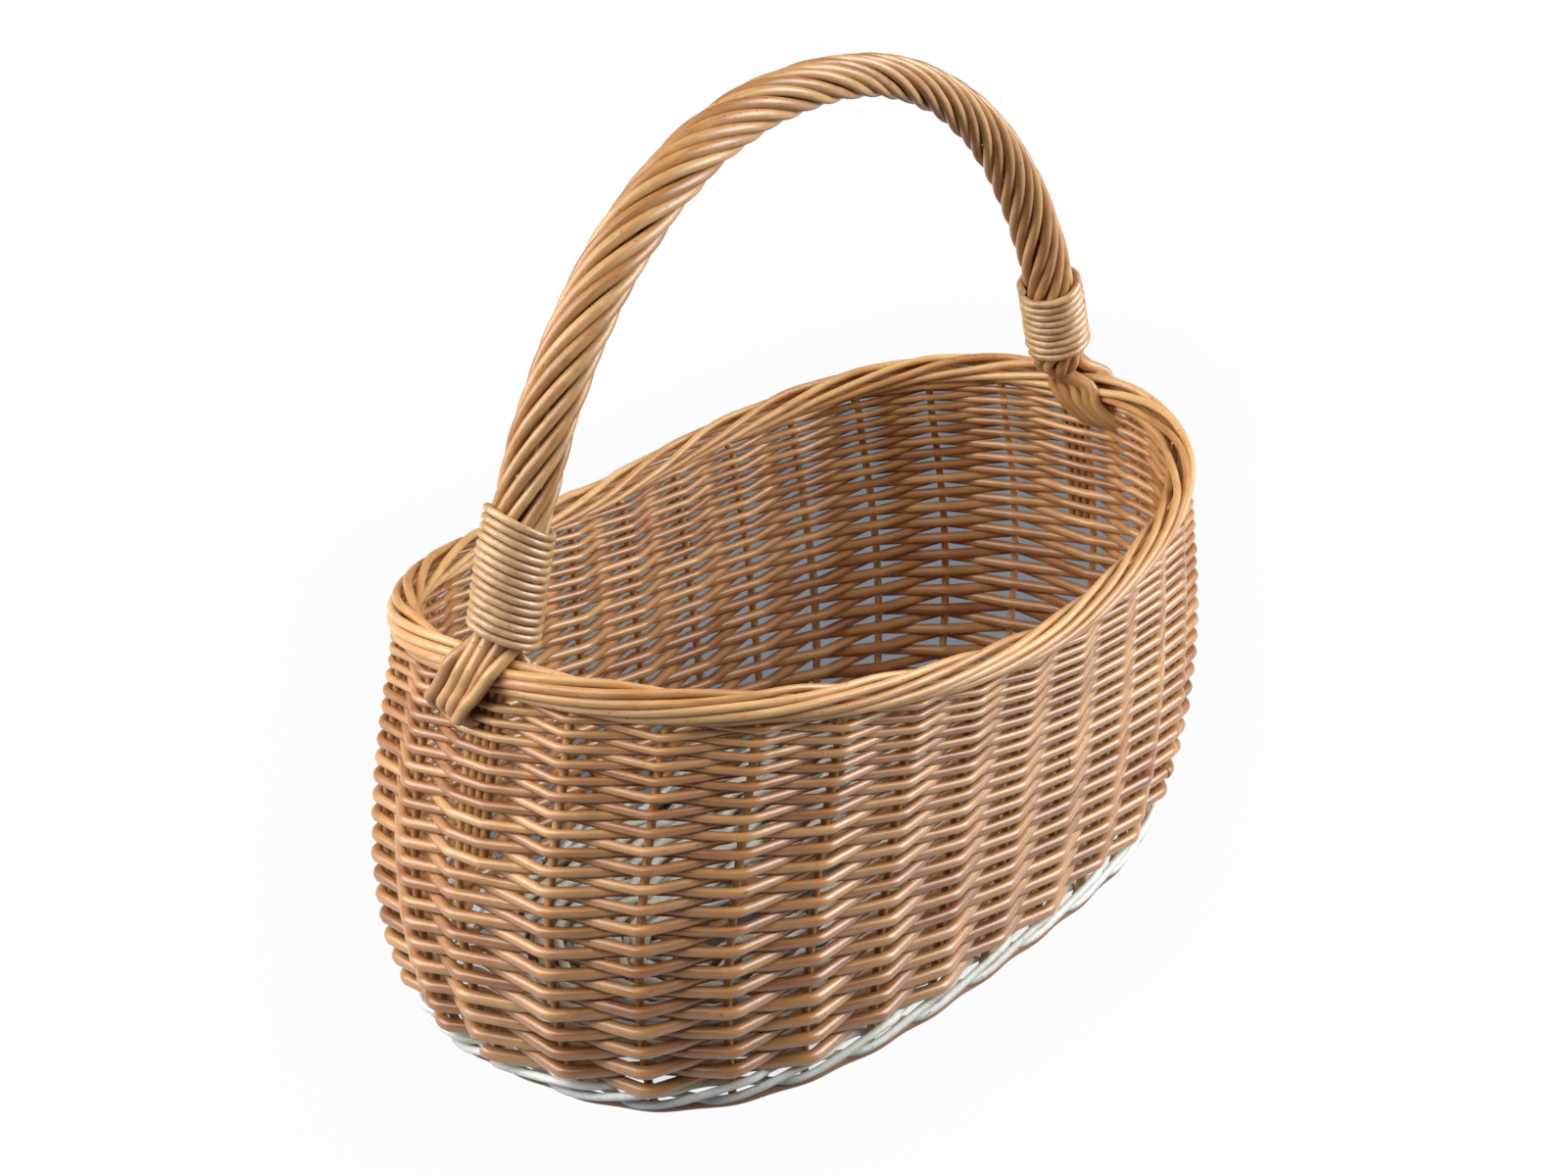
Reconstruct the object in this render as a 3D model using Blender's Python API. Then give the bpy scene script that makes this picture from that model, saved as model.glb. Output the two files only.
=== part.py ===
"""Oval willow basket for foraging: stakes woven over and under, and a roped handle along its length."""
import functools
import math

import bmesh
import bpy
import numpy as np
from mathutils import Vector

# The wall, measured to the middle of the stakes
RIM_HALF_LENGTH = 0.220
RIM_HALF_WIDTH = 0.1305
RIM_SIDE_HEIGHT = 0.1706
RIM_END_RISE = 0.0259
BASE_HALF_LENGTH = 0.2062
BASE_HALF_WIDTH = 0.1096
BELLY_LENGTH_SWELL = 0.0248
BELLY_WIDTH_SWELL = 0.0031

# How the oval's outline is shaped
RIM_OVAL_POWER = 2.37
BASE_OVAL_POWER = 2.9
RIM_RISE_POWER = 1.34
BELLY_LENGTH_POWER = 1.3
BELLY_WIDTH_POWER = 2.4
BASE_CROWDING_SHARE = 0.0124
WALL_KNOT_SHARES = (0.0, 0.14, 0.29, 0.45, 0.72, 1.0)
OUTLINE_SAMPLES = 720

# Willow rods, by what they do
STAKE_DIAMETER = 0.0046
SIDING_DIAMETER = 0.0050
WALE_DIAMETER = 0.0034
FOOT_DIAMETER = 0.0052
BOW_DIAMETER = 0.0042
BOW_TOP_DIAMETER = 0.0030
STRAND_DIAMETER = 0.0050
STRAND_TOP_DIAMETER = 0.0040
BINDING_DIAMETER = 0.0030
LONG_STICK_DIAMETER = 0.0038
CROSS_STICK_DIAMETER = 0.0070
STICK_TIP_DIAMETER = 0.0036
BASE_ROD_DIAMETER = 0.0046

# Spaces between rods
REST_GAP = 0.0003
SIDING_GAP = 0.0004
WALE_GAP = 0.0003
BASE_ROUND_GAP = 0.0036
BASE_CROSSING_GAP = 0.0007

# Counts
STAKE_COUNT = 30
WALE_RODS = 3
BORDER_RODS_ABREAST = 5
STRAND_COUNT = 10
ROPE_TENTH_TURNS = 43
BOW_RODS = 3
LONG_STICKS = 3
CROSS_STICKS = 4

# The border
STAKE_BEND = 0.0046

# The base
FOOT_INSET = 0.0010
BASE_WEAVE_INSET = 0.0125
STICK_TIP_HEIGHT = 0.0026
BASE_EDGE_HEIGHT = 0.0092
BASE_CROWN = 0.0050
SLATH_HALF_WIDTH = 0.0140
FAN_WEAVE_START = 0.0260
STICK_SLOT_GAP = 0.0005
CUTTER_OVERRUN = 0.0050

# The handle
HANDLE_INSET = 0.0009
HANDLE_SPRING_DROP = 0.063
HANDLE_RISE = 0.196
HANDLE_ARCH_POWER = 2.155
HANDLE_LEAN = 0.0014
HANDLE_SHOULDER = 0.0066
HANDLE_SHOULDER_SHARES = (0.31, 0.22)
HANDLE_WAIST_SHARES = (0.60, 0.19)
BINDING_CLEARANCE = 0.006
LEFT_BINDING_PITCH = 0.00365
RIGHT_BINDING_PITCH = 0.0040
LEFT_BINDING_TURNS = 14
RIGHT_BINDING_TURNS = 9
BINDING_POINTS = 12
ROPE_POINTS_PER_TURN = 7
BOW_CROSSING_DEPTH = 0.026
BOW_TAIL_DEPTH = 0.080
FAN_DEPTH = 0.022
FAN_DRIFT = 0.012
FAN_SLANT_COSINE_SHARE = 0.90

COLLECTION = "foraging_basket"
BUFF = (0.56, 0.33, 0.15)
PALE = (0.66, 0.44, 0.24)
BROWN = (0.33, 0.15, 0.06)
WHITE = (0.78, 0.76, 0.66)


def material(name, colour, roughness):
    """Willow finish of one colour."""
    made = bpy.data.materials.new(name)
    made.use_nodes = True
    shader = made.node_tree.nodes["Principled BSDF"]
    shader.inputs["Base Color"].default_value = (*colour, 1.0)
    shader.inputs["Roughness"].default_value = roughness
    shader.inputs["Metallic"].default_value = 0.0
    return made


def rod(name, points, diameter, finish, sides=4, shares=None, twist="MINIMUM", turned=0.0, cyclic=False):
    """Round rod along points; shares thin it from point to point, turned rolls its sides round."""
    data = bpy.data.curves.new(name, "CURVE")
    data.dimensions = "3D"
    data.bevel_depth = diameter/2.0
    data.bevel_resolution = {4: 0, 6: 1, 8: 2}[sides]
    data.use_fill_caps = not cyclic
    data.twist_mode = twist
    data.render_resolution_u = 0
    add_spline(data, points, shares, turned, cyclic)
    data.materials.append(finish)
    made = bpy.data.objects.new(name, data)
    bpy.data.collections[COLLECTION].objects.link(made)
    return made


def add_spline(data, points, shares=None, turned=0.0, cyclic=False):
    """One straight-run spline through the points."""
    spline = data.splines.new("POLY")
    spline.points.add(len(points) - 1)
    spline.use_cyclic_u = cyclic
    for index, place in enumerate(points):
        spline.points[index].co = (place[0], place[1], place[2], 1.0)
        spline.points[index].radius = 1.0 if shares is None else shares[index]
        spline.points[index].tilt = turned


def as_mesh(source):
    """Turn a rod into a welded mesh object, so that it can be cut."""
    bpy.context.view_layer.update()
    evaluated = source.evaluated_get(bpy.context.evaluated_depsgraph_get())
    mesh = bpy.data.meshes.new_from_object(evaluated)
    welded = bmesh.new()
    welded.from_mesh(mesh)
    bmesh.ops.remove_doubles(welded, verts=welded.verts, dist=source.data.bevel_depth/1000.0)
    welded.to_mesh(mesh)
    welded.free()
    name = source.name
    made = bpy.data.objects.new(name + "_mesh", mesh)
    made.matrix_world = source.matrix_world
    bpy.data.collections[COLLECTION].objects.link(made)
    bpy.data.objects.remove(source)
    made.name = name
    return made


@functools.lru_cache(maxsize=None)
def oval_samples(half_length, half_width, squareness):
    """Places round a rounded oval, and the length of the way to each."""
    angles = np.linspace(0.0, 2.0*math.pi, OUTLINE_SAMPLES + 1)
    cosines, sines = np.cos(angles), np.sin(angles)
    xs = half_length*np.sign(cosines)*np.abs(cosines)**(2.0/squareness)
    ys = half_width*np.sign(sines)*np.abs(sines)**(2.0/squareness)
    steps = np.hypot(np.diff(xs), np.diff(ys))
    return xs, ys, np.concatenate(([0.0], np.cumsum(steps)))


def oval_point(half_length, half_width, squareness, turn):
    """Place a share of the way round the oval, counted from +X towards +Y."""
    xs, ys, lengths = oval_samples(half_length, half_width, squareness)
    way = (turn % 1.0)*lengths[-1]
    return float(np.interp(way, lengths, xs)), float(np.interp(way, lengths, ys))


def swell(share, power):
    """Belly of the wall: nothing at base and rim, whole in between, lower for a higher power."""
    peak = 1.0/(1.0 + power)
    return share*(1.0 - share)**power/(peak*(1.0 - peak)**power)


def wall_oval(share):
    """The wall's oval at a share of its height."""
    share = round(share, 4)
    half_length = BASE_HALF_LENGTH + (RIM_HALF_LENGTH - BASE_HALF_LENGTH)*share
    half_width = BASE_HALF_WIDTH + (RIM_HALF_WIDTH - BASE_HALF_WIDTH)*share
    squareness = BASE_OVAL_POWER + (RIM_OVAL_POWER - BASE_OVAL_POWER)*share
    half_length += BELLY_LENGTH_SWELL*swell(share, BELLY_LENGTH_POWER)
    half_width += BELLY_WIDTH_SWELL*swell(share, BELLY_WIDTH_POWER)
    return half_length, half_width, squareness


@functools.lru_cache(maxsize=None)
def wall_frame(turn, share):
    """Place on the wall, with its outward and forward directions."""
    oval = wall_oval(share)
    spots = [turn + step/STAKE_COUNT for step in (-1.0, 0.0, 1.0)]
    crowding = BASE_CROWDING_SHARE*(1.0 - share)
    before, (x, y), after = (oval_point(*oval, spot - crowding*math.sin(4.0*math.pi*spot)) for spot in spots)
    forward = Vector((after[0] - before[0], after[1] - before[1], 0.0)).normalized()
    outward = Vector((forward.y, -forward.x, 0.0))
    rim_x = oval_point(*wall_oval(1.0), turn)[0]
    rise = RIM_END_RISE*abs(rim_x/RIM_HALF_LENGTH)**RIM_RISE_POWER
    return Vector((x, y, share*(RIM_SIDE_HEIGHT + rise))), outward, forward


def wall_place(turn, height, outset=0.0, along=0.0):
    """Place beside the wall at a height, set out from it and moved along it."""
    full = rim_height(turn)
    share = min(max(height/full, 0.0), 1.0)
    upper = next(index for index in range(1, len(WALL_KNOT_SHARES)) if share <= WALL_KNOT_SHARES[index])
    low, high = WALL_KNOT_SHARES[upper - 1], WALL_KNOT_SHARES[upper]
    below, outward_below, forward_below = wall_frame(turn, low)
    above, outward_above, forward_above = wall_frame(turn, high)
    blend = (height - low*full)/(high*full - low*full)
    outward = outward_below.lerp(outward_above, blend).normalized()
    forward = Vector((-outward.y, outward.x, 0.0))
    lean = (above - below).dot(outward)/(high*full - low*full)
    spot = below.lerp(above, blend) + outward*outset*math.hypot(1.0, lean) + forward*along
    return Vector((spot.x, spot.y, height))


def rim_height(turn):
    """Height of the middle of the border."""
    x = wall_frame(turn, 1.0)[0].x
    return RIM_SIDE_HEIGHT + RIM_END_RISE*abs(x/RIM_HALF_LENGTH)**RIM_RISE_POWER


def wall_run(turn, start, end, outset=0.0, along=0.0):
    """Places along the wall from one height to another, with each bend of the wall between."""
    low, high = min(start, end), max(start, end)
    bends = [share*rim_height(turn) for share in WALL_KNOT_SHARES]
    heights = [low] + [height for height in bends if low < height < high] + [high]
    if start > end:
        heights.reverse()
    return [wall_place(turn, height, outset, along) for height in heights]


STAKE_RADIUS = STAKE_DIAMETER/2.0
SIDING_RADIUS = SIDING_DIAMETER/2.0
WALE_RADIUS = WALE_DIAMETER/2.0
BOW_RADIUS = BOW_DIAMETER/2.0
STRAND_RADIUS = STRAND_DIAMETER/2.0
BINDING_RADIUS = BINDING_DIAMETER/2.0
FOOT_HALF_FACE = FOOT_DIAMETER/2.0*math.cos(math.radians(45.0))
FOOT_TOP = 2.0*FOOT_HALF_FACE
UPRIGHT_RADIUS = max(STAKE_RADIUS, BOW_RADIUS)
UPRIGHT_SPACING = 2.0*UPRIGHT_RADIUS + REST_GAP
SIDING_OUTSET = UPRIGHT_RADIUS + REST_GAP + SIDING_RADIUS
HANDLE_STATIONS = (0, STAKE_COUNT//2)


def border_radius():
    """Radius of the ring of rods that makes the border, to their middles."""
    half_step = math.radians(15.0)
    return (STAKE_DIAMETER + REST_GAP)/math.cos(half_step)


BORDER_RADIUS = border_radius()
BORDER_OUTER = BORDER_RADIUS + STAKE_RADIUS
WALE_STEP = WALE_DIAMETER + WALE_GAP
WALE_OUTSET = STAKE_RADIUS + REST_GAP + WALE_RADIUS
WALE_LOW = FOOT_TOP + REST_GAP
SIDING_LOW = WALE_LOW + 2.0*WALE_STEP + WALE_RADIUS + REST_GAP + SIDING_RADIUS


def border_place(turn, angle, radius, along=0.0):
    """Place round the middle of the border: 0 is outside it and 90 degrees on top."""
    spot, outward, forward = wall_frame(turn, 1.0)
    spot = spot + outward*radius*math.cos(angle) + forward*along
    spot.z += radius*math.sin(angle)
    return spot


def stake_shift(station):
    """How far a stake stands along the wall from its station, beside the handle's bow."""
    return -(BOW_RODS + 1)/2.0*UPRIGHT_SPACING if station % STAKE_COUNT in HANDLE_STATIONS else 0.0


def stake_points(station):
    """A stake's way up the wall, over at the top and along the border until it tucks under."""
    turn = station/STAKE_COUNT
    top = rim_height(turn) - BORDER_RADIUS - STAKE_BEND
    points = wall_run(turn, FOOT_TOP + REST_GAP, top, 0.0, stake_shift(station))
    bend_share = 0.12
    bend = border_place(turn + bend_share/STAKE_COUNT, math.radians(270.0), BORDER_RADIUS + STAKE_BEND/4.0)
    points.append(bend)
    for half_step in range(1, 2*BORDER_RODS_ABREAST + 2):
        angle = math.radians(270.0 - 30.0*half_step)
        points.append(border_place(turn + half_step/2.0/STAKE_COUNT, angle, BORDER_RADIUS))
    return points


def make_stakes(finish):
    """Upright stakes that turn over at the top and make the border."""
    for station in range(STAKE_COUNT):
        points = stake_points(station)
        lean = points[1] - points[0]
        outward = wall_frame(station/STAKE_COUNT, WALL_KNOT_SHARES[3])[1]
        turned = math.atan2(lean.y, lean.x) - math.atan2(outward.y, outward.x)
        rod("stake_%02d" % (station + 1), points, STAKE_DIAMETER, finish, turned=turned)


def siding_rows():
    """Even number of rows that fit between the wale and the border on the long side."""
    room = siding_top(0.25) - SIDING_LOW
    return 2*int(room/(SIDING_DIAMETER + SIDING_GAP)/2.0)


def siding_top(turn):
    """Height of the last row, just under the border."""
    return rim_height(turn) - BORDER_OUTER - REST_GAP - SIDING_RADIUS


def siding_points(parity, first_round, last_round, rows):
    """One rod's zigzag between stakes, outside at every other stake, for some of its rounds."""
    points = []
    start = first_round*STAKE_COUNT
    for step in range(start, last_round*STAKE_COUNT):
        station = step + parity*HANDLE_STATIONS[1]
        turn = station/STAKE_COUNT
        row = 2.0*step/STAKE_COUNT
        outside = (station + parity) % 2 == 0
        height = SIDING_LOW + (siding_top(turn) - SIDING_LOW)*row/rows
        crossing = rim_height(turn) - BOW_CROSSING_DEPTH
        passes_bow = station % STAKE_COUNT in HANDLE_STATIONS
        if passes_bow and height > crossing:
            outside = True
        outset = SIDING_OUTSET if outside else -SIDING_OUTSET
        if passes_bow and height > rim_height(turn) - BOW_TAIL_DEPTH - SIDING_DIAMETER:
            edges = (stake_shift(station), (BOW_RODS - 1)/2.0*UPRIGHT_SPACING)
            points += [wall_place(turn, height, outset, edge) for edge in edges]
        else:
            points.append(wall_place(turn, height, outset, stake_shift(station)))
    return points


def make_siding(finish):
    """Two rods chase each other up the stakes."""
    rows = siding_rows()
    for parity, rod_name in enumerate(("even", "odd")):
        points = siding_points(parity, 0, rows//2, rows)
        rod("siding_rod_%s" % rod_name, points, SIDING_DIAMETER, finish, twist="Z_UP")


def wale_points(strand):
    """One of three rods that pass in front of two stakes and behind one, over each other."""
    points = []
    for station in range(STAKE_COUNT):
        phase = (station + strand) % WALE_RODS
        outset = -WALE_OUTSET if phase == 0 else WALE_OUTSET
        height = WALE_LOW + WALE_STEP*(1.0, 0.0, 2.0)[phase]
        points.append(wall_place(station/STAKE_COUNT, height, outset, stake_shift(station)))
    return points


def make_wale(finish):
    """Roped band that sets the stakes up at the base."""
    for strand in range(WALE_RODS):
        rod("wale_rod_%d" % (strand + 1), wale_points(strand), WALE_DIAMETER, finish, twist="Z_UP", cyclic=True)


@functools.lru_cache(maxsize=None)
def foot_places():
    """Places of the middle of the rod round the bottom edge."""
    points = []
    for step in range(2*STAKE_COUNT):
        spot, outward, forward = wall_frame(step/(2.0*STAKE_COUNT), 0.0)
        spot = spot - outward*FOOT_INSET
        points.append(Vector((spot.x, spot.y, FOOT_HALF_FACE)))
    return points


def make_foot(finish):
    """Rod round the bottom edge, with a flat face to stand on."""
    rod("foot_rod", foot_places(), FOOT_DIAMETER, finish, twist="Z_UP", turned=math.radians(45.0), cyclic=True)


def base_edge_width(x, inset):
    """Half width of the base at x, inside its edge."""
    share = min(abs(x)/BASE_HALF_LENGTH, 1.0)
    return BASE_HALF_WIDTH*(1.0 - share**BASE_OVAL_POWER)**(1.0/BASE_OVAL_POWER) - inset


def base_edge_reach(start, direction, inset):
    """Length of the way from a start to the base's edge, less the inset."""
    near, far = 0.0, 2.0*BASE_HALF_LENGTH
    for _ in range(40):
        middle = (near + far)/2.0
        x, y = start[0] + direction[0]*middle, start[1] + direction[1]*middle
        inside = abs(x/BASE_HALF_LENGTH)**BASE_OVAL_POWER + abs(y/BASE_HALF_WIDTH)**BASE_OVAL_POWER < 1.0
        near, far = (middle, far) if inside else (near, middle)
    return near - inset


def stick_rays():
    """Start, direction and stick radius of each stick end, in order round the base."""
    end = BASE_HALF_LENGTH - BASE_HALF_WIDTH
    cross = [end - 2.0*end*index/(CROSS_STICKS - 1) for index in range(CROSS_STICKS)]
    fan_angles = [math.radians(60.0*(2.0*index/(LONG_STICKS - 1) - 1.0)) for index in range(LONG_STICKS)]
    spacing = LONG_STICK_DIAMETER + REST_GAP
    long_radius, cross_radius = LONG_STICK_DIAMETER/2.0, CROSS_STICK_DIAMETER/2.0
    fan = end + cross_radius + STICK_SLOT_GAP + LONG_STICK_DIAMETER
    rays = []
    for side in (1.0, -1.0):
        for index, angle in enumerate(fan_angles):
            start = (side*fan, side*spacing*(index - (LONG_STICKS - 1)/2.0))
            rays.append((start, (side*math.cos(angle), side*math.sin(angle)), long_radius, "long"))
        for x in cross:
            rays.append(((side*x, 0.0), (0.0, side), cross_radius, "cross"))
    return rays


def ray_spot(ray, way):
    """Plan position along a stick end."""
    return ray[0][0] + ray[1][0]*way, ray[0][1] + ray[1][1]*way


def slath_way(ray):
    """Way along a stick end to where the first round crosses it."""
    return SLATH_HALF_WIDTH if ray[3] == "cross" else FAN_WEAVE_START


def edge_way(ray):
    """Way along a stick end to where the last round crosses it."""
    return base_edge_reach(ray[0], ray[1], BASE_WEAVE_INSET)


def stick_place(ray, way, lift=0.0):
    """Place over a stick end's middle, which runs straight from the slath to its edge."""
    first, last = SLATH_HALF_WIDTH if ray[3] == "cross" else 0.0, edge_way(ray)
    blend = (way - first)/(last - first)
    height = slath_height()*(1.0 - blend) + BASE_EDGE_HEIGHT*blend
    spot = ray_spot(ray, way)
    return Vector((spot[0], spot[1], height + lift))


def slath_height():
    """Height of the sticks' middles where they cross."""
    return BASE_EDGE_HEIGHT + BASE_CROWN


def tip_way(ray):
    """Way along a stick end to the rod round the bottom edge, less what keeps them apart."""
    places = foot_places()
    start, direction = Vector(ray[0]), Vector(ray[1])
    for index, place in enumerate(places):
        side = places[index - 1].xy - place.xy
        offset = place.xy - start
        scale = direction.cross(side)
        way, share = offset.cross(side)/scale, offset.cross(direction)/scale
        if way > 0.0 and 0.0 <= share <= 1.0:
            slant = abs(direction.dot(side.normalized()))
            clear = FOOT_HALF_FACE + REST_GAP + STICK_TIP_DIAMETER/2.0*slant
            return way - clear/math.sqrt(1.0 - slant**2)
    raise RuntimeError("a stick end misses the rod round the bottom edge")


def stick_end(ray):
    """A stick's end from its last round to its tip: down, thinned and level against the foot rod."""
    way = tip_way(ray)
    tip, level = ray_spot(ray, way), ray_spot(ray, way - STICK_TIP_DIAMETER)
    height = STICK_TIP_HEIGHT
    places = [stick_place(ray, edge_way(ray))]
    return places + [Vector((*level, height)), Vector((*tip, height))]


def make_cross_sticks(finish):
    """Thick sticks across the base, each split in the middle for the long sticks."""
    rays = [ray for ray in stick_rays() if ray[3] == "cross"]
    slot = stick_slot()
    for index, ray in enumerate(rays[:CROSS_STICKS]):
        other = min(rays[CROSS_STICKS:], key=lambda back: abs(back[0][0] - ray[0][0]))
        middle = [stick_place(end, SLATH_HALF_WIDTH) for end in (ray, other)]
        stick = make_stick("base_cross_stick_%d" % (index + 1), ray, other, middle, CROSS_STICK_DIAMETER, finish)
        cut = as_mesh(stick).modifiers.new("slot", "BOOLEAN")
        cut.operation = "DIFFERENCE"
        cut.object = slot


def make_stick(name, ray, other, middle, diameter, finish):
    """A stick that runs through the base from one thinned end to the other."""
    tip_share = STICK_TIP_DIAMETER/diameter
    shares = [tip_share, tip_share, 1.0] + [1.0]*len(middle) + [1.0, tip_share, tip_share]
    points = list(reversed(stick_end(ray))) + middle + stick_end(other)
    sides = 6 if diameter > LONG_STICK_DIAMETER else 4
    return rod(name, points, diameter, finish, sides, shares, twist="Z_UP")


def stick_slot():
    """Cutter for the slot that the long sticks pass through."""
    half_width = (LONG_STICKS*(LONG_STICK_DIAMETER + REST_GAP) + REST_GAP)/2.0
    half_height = LONG_STICK_DIAMETER/2.0 + STICK_SLOT_GAP/2.0
    half_length = BASE_HALF_LENGTH - BASE_HALF_WIDTH + CROSS_STICK_DIAMETER/2.0 + CUTTER_OVERRUN
    bpy.ops.mesh.primitive_cube_add(size=1.0)
    cutter = bpy.context.object
    cutter.name = "stick_slot"
    cutter.scale = (2.0*half_length, 2.0*half_width, 2.0*half_height)
    cutter.location = (0.0, 0.0, slath_height())
    cutter.hide_render = True
    cutter.display_type = "WIRE"
    for owner in list(cutter.users_collection):
        owner.objects.unlink(cutter)
    bpy.data.collections[COLLECTION + "_cutters"].objects.link(cutter)
    return cutter


def make_long_sticks(finish):
    """Thin sticks along the base, through the split ones, that fan out at both ends."""
    rays = [ray for ray in stick_rays() if ray[3] == "long"]
    for index, (ray, other) in enumerate(zip(rays[:LONG_STICKS], reversed(rays[LONG_STICKS:]))):
        middle = [stick_place(end, 0.0) for end in (ray, other)]
        make_stick("base_long_stick_%d" % (index + 1), ray, other, middle, LONG_STICK_DIAMETER, finish)


def base_rounds():
    """Even number of rounds between the slath and the base's edge."""
    room = base_edge_width(0.0, BASE_WEAVE_INSET) - SLATH_HALF_WIDTH
    return 2*int(room/(BASE_ROD_DIAMETER + BASE_ROUND_GAP)/2.0)


def make_base_weave(finish):
    """Two rods chase each other outwards, over one stick end and under the next."""
    rays = stick_rays()
    rounds = base_rounds()
    for parity, rod_name in enumerate(("even", "odd")):
        points = []
        for step in range(rounds//2*len(rays)):
            place = step + parity*len(rays)//2
            ray = rays[place % len(rays)]
            first, last = slath_way(ray), edge_way(ray)
            way = first + (last - first)*2.0*step/len(rays)/rounds
            over = 1.0 if (place + parity) % 2 == 0 else -1.0
            lift = ray[2] + BASE_CROSSING_GAP + BASE_ROD_DIAMETER/2.0
            points.append(stick_place(ray, way, over*lift))
        rod("base_weaver_%s" % rod_name, points, BASE_ROD_DIAMETER, finish)


class Arch:
    """The handle's middle line, from the left foot over to the right one, by length."""

    def __init__(self):
        span = RIM_HALF_LENGTH - HANDLE_INSET
        end_height = RIM_SIDE_HEIGHT + RIM_END_RISE
        spring = end_height - HANDLE_SPRING_DROP
        rise = HANDLE_RISE + HANDLE_SPRING_DROP
        angles = np.linspace(math.pi, 0.0, OUTLINE_SAMPLES + 1)
        power = 2.0/HANDLE_ARCH_POWER
        self.xs = span*np.sign(np.cos(angles))*np.abs(np.cos(angles))**power
        self.zs = spring + rise*np.abs(np.sin(angles))**power
        self.foot = end_height + BORDER_OUTER + BINDING_CLEARANCE
        self.measure()
        self.bend()
        self.measure()

    def measure(self):
        """Find the length of the way to each place, and where the bindings start."""
        half = OUTLINE_SAMPLES//2
        steps = np.hypot(np.diff(self.xs), np.diff(self.zs))
        self.ways = np.concatenate(([0.0], np.cumsum(steps)))
        self.first = float(np.interp(self.foot, self.zs[:half], self.ways[:half]))
        last = float(np.interp(self.foot, self.zs[:half:-1], self.ways[:half:-1]))
        self.length = last - self.first

    def bend(self):
        """Lean the even arch a little and fill its left shoulder, as the rods were bent by hand."""
        shares = np.clip((self.ways - self.first)/self.length, 0.0, 1.0)
        offsets = HANDLE_LEAN*np.cos(math.pi*shares) + HANDLE_SHOULDER*hump(shares, HANDLE_SHOULDER_SHARES)
        along_x, along_z = np.gradient(self.xs), np.gradient(self.zs)
        lengths = np.hypot(along_x, along_z)
        self.xs = self.xs - offsets*along_z/lengths
        self.zs = self.zs + offsets*along_x/lengths

    def frame(self, way):
        """Place, direction, outward and side directions at a length above the left binding's foot."""
        here = self.first + way
        step = self.length/OUTLINE_SAMPLES
        spots = [self.spot(here + offset) for offset in (-step, 0.0, step)]
        forward = (spots[2] - spots[0]).normalized()
        outward = Vector((-forward.z, 0.0, forward.x))
        return spots[1], forward, outward, forward.cross(outward)

    def spot(self, way):
        """Place at a length along the whole arch."""
        return Vector((np.interp(way, self.ways, self.xs), 0.0, np.interp(way, self.ways, self.zs)))

    def around(self, way, angle, radius):
        """Place round the middle line: 0 is on the arch's outer side."""
        spot, forward, outward, side = self.frame(way)
        return spot + (outward*math.cos(angle) + side*math.sin(angle))*radius


def hump(share, shares):
    """A smooth hump of height one at a share of the way, with a width."""
    return np.exp(-((share - shares[0])/shares[1])**2)


def thickness(share, foot, top):
    """A rod's thickness along the arch, thinnest beyond its middle."""
    return foot + (top - foot)*float(hump(share, HANDLE_WAIST_SHARES))


def rope_radius(share, arch):
    """Radius of the ring of strands, to their middles, so that neighbours nearly touch."""
    strand = thickness(share, STRAND_DIAMETER, STRAND_TOP_DIAMETER)
    turn_length = arch.length/(ROPE_TENTH_TURNS/10.0)
    half_chord_share = math.sin(math.pi/STRAND_COUNT)*math.cos(math.pi/ROPE_POINTS_PER_TURN)
    radius = (strand + REST_GAP)/(2.0*half_chord_share)
    lay = math.cos(math.atan2(2.0*math.pi*radius, turn_length))
    return radius/lay


def rope_steps():
    """Number of equal steps along the roped handle."""
    return round(ROPE_TENTH_TURNS/10.0*ROPE_POINTS_PER_TURN)


def strand_angle(strand, share):
    """Angle of a strand round the handle."""
    return 2.0*math.pi*(strand/STRAND_COUNT + share*ROPE_TENTH_TURNS/10.0)


def outer_order(angle):
    """Order of an outer strand from side to side, or None for an inner one."""
    turned = (angle + math.pi) % (2.0*math.pi) - math.pi
    order = round(turned/(2.0*math.pi/STRAND_COUNT))
    return order if abs(order) <= STRAND_COUNT//4 else None


def fan_points(turn, order):
    """An outer strand's end: down over the outside of the border and along the wall."""
    outset = BORDER_OUTER + REST_GAP + STRAND_RADIUS
    along = -order*(STRAND_DIAMETER + REST_GAP)/FAN_SLANT_COSINE_SHARE
    angles = (60.0, 30.0)
    over = outset/math.cos(math.radians(15.0))
    points = [border_place(turn, math.radians(angle), over, along) for angle in angles]
    rim = rim_height(turn)
    for share in (0.0, 0.4, 1.0):
        points.append(wall_place(turn, rim - FAN_DEPTH*share, outset, along - FAN_DRIFT*share))
    return points


def make_strands(arch, finish):
    """Ten rods laid round the bow like a rope, whose outer ends fan over the border."""
    steps = rope_steps()
    for strand in range(STRAND_COUNT):
        first = outer_order(strand_angle(strand, 0.0))
        last = outer_order(strand_angle(strand, 1.0))
        points, widths = [], []
        if first is not None:
            points += reversed(fan_points(HANDLE_STATIONS[1]/STAKE_COUNT, -first))
            widths += [STRAND_DIAMETER]*len(points)
        for step in range(0 if first is not None else 1, steps + (1 if last is not None else 0)):
            share = step/steps
            angle = strand_angle(strand, share)
            points.append(arch.around(share*arch.length, angle, rope_radius(share, arch)))
            widths.append(thickness(share, STRAND_DIAMETER, STRAND_TOP_DIAMETER))
        if last is not None:
            tail = fan_points(0.0, last)
            points += tail
            widths += [STRAND_DIAMETER]*len(tail)
        shares = [width/STRAND_DIAMETER for width in widths]
        rod("handle_strand_%02d" % (strand + 1), points, STRAND_DIAMETER, finish, shares=shares)


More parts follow.
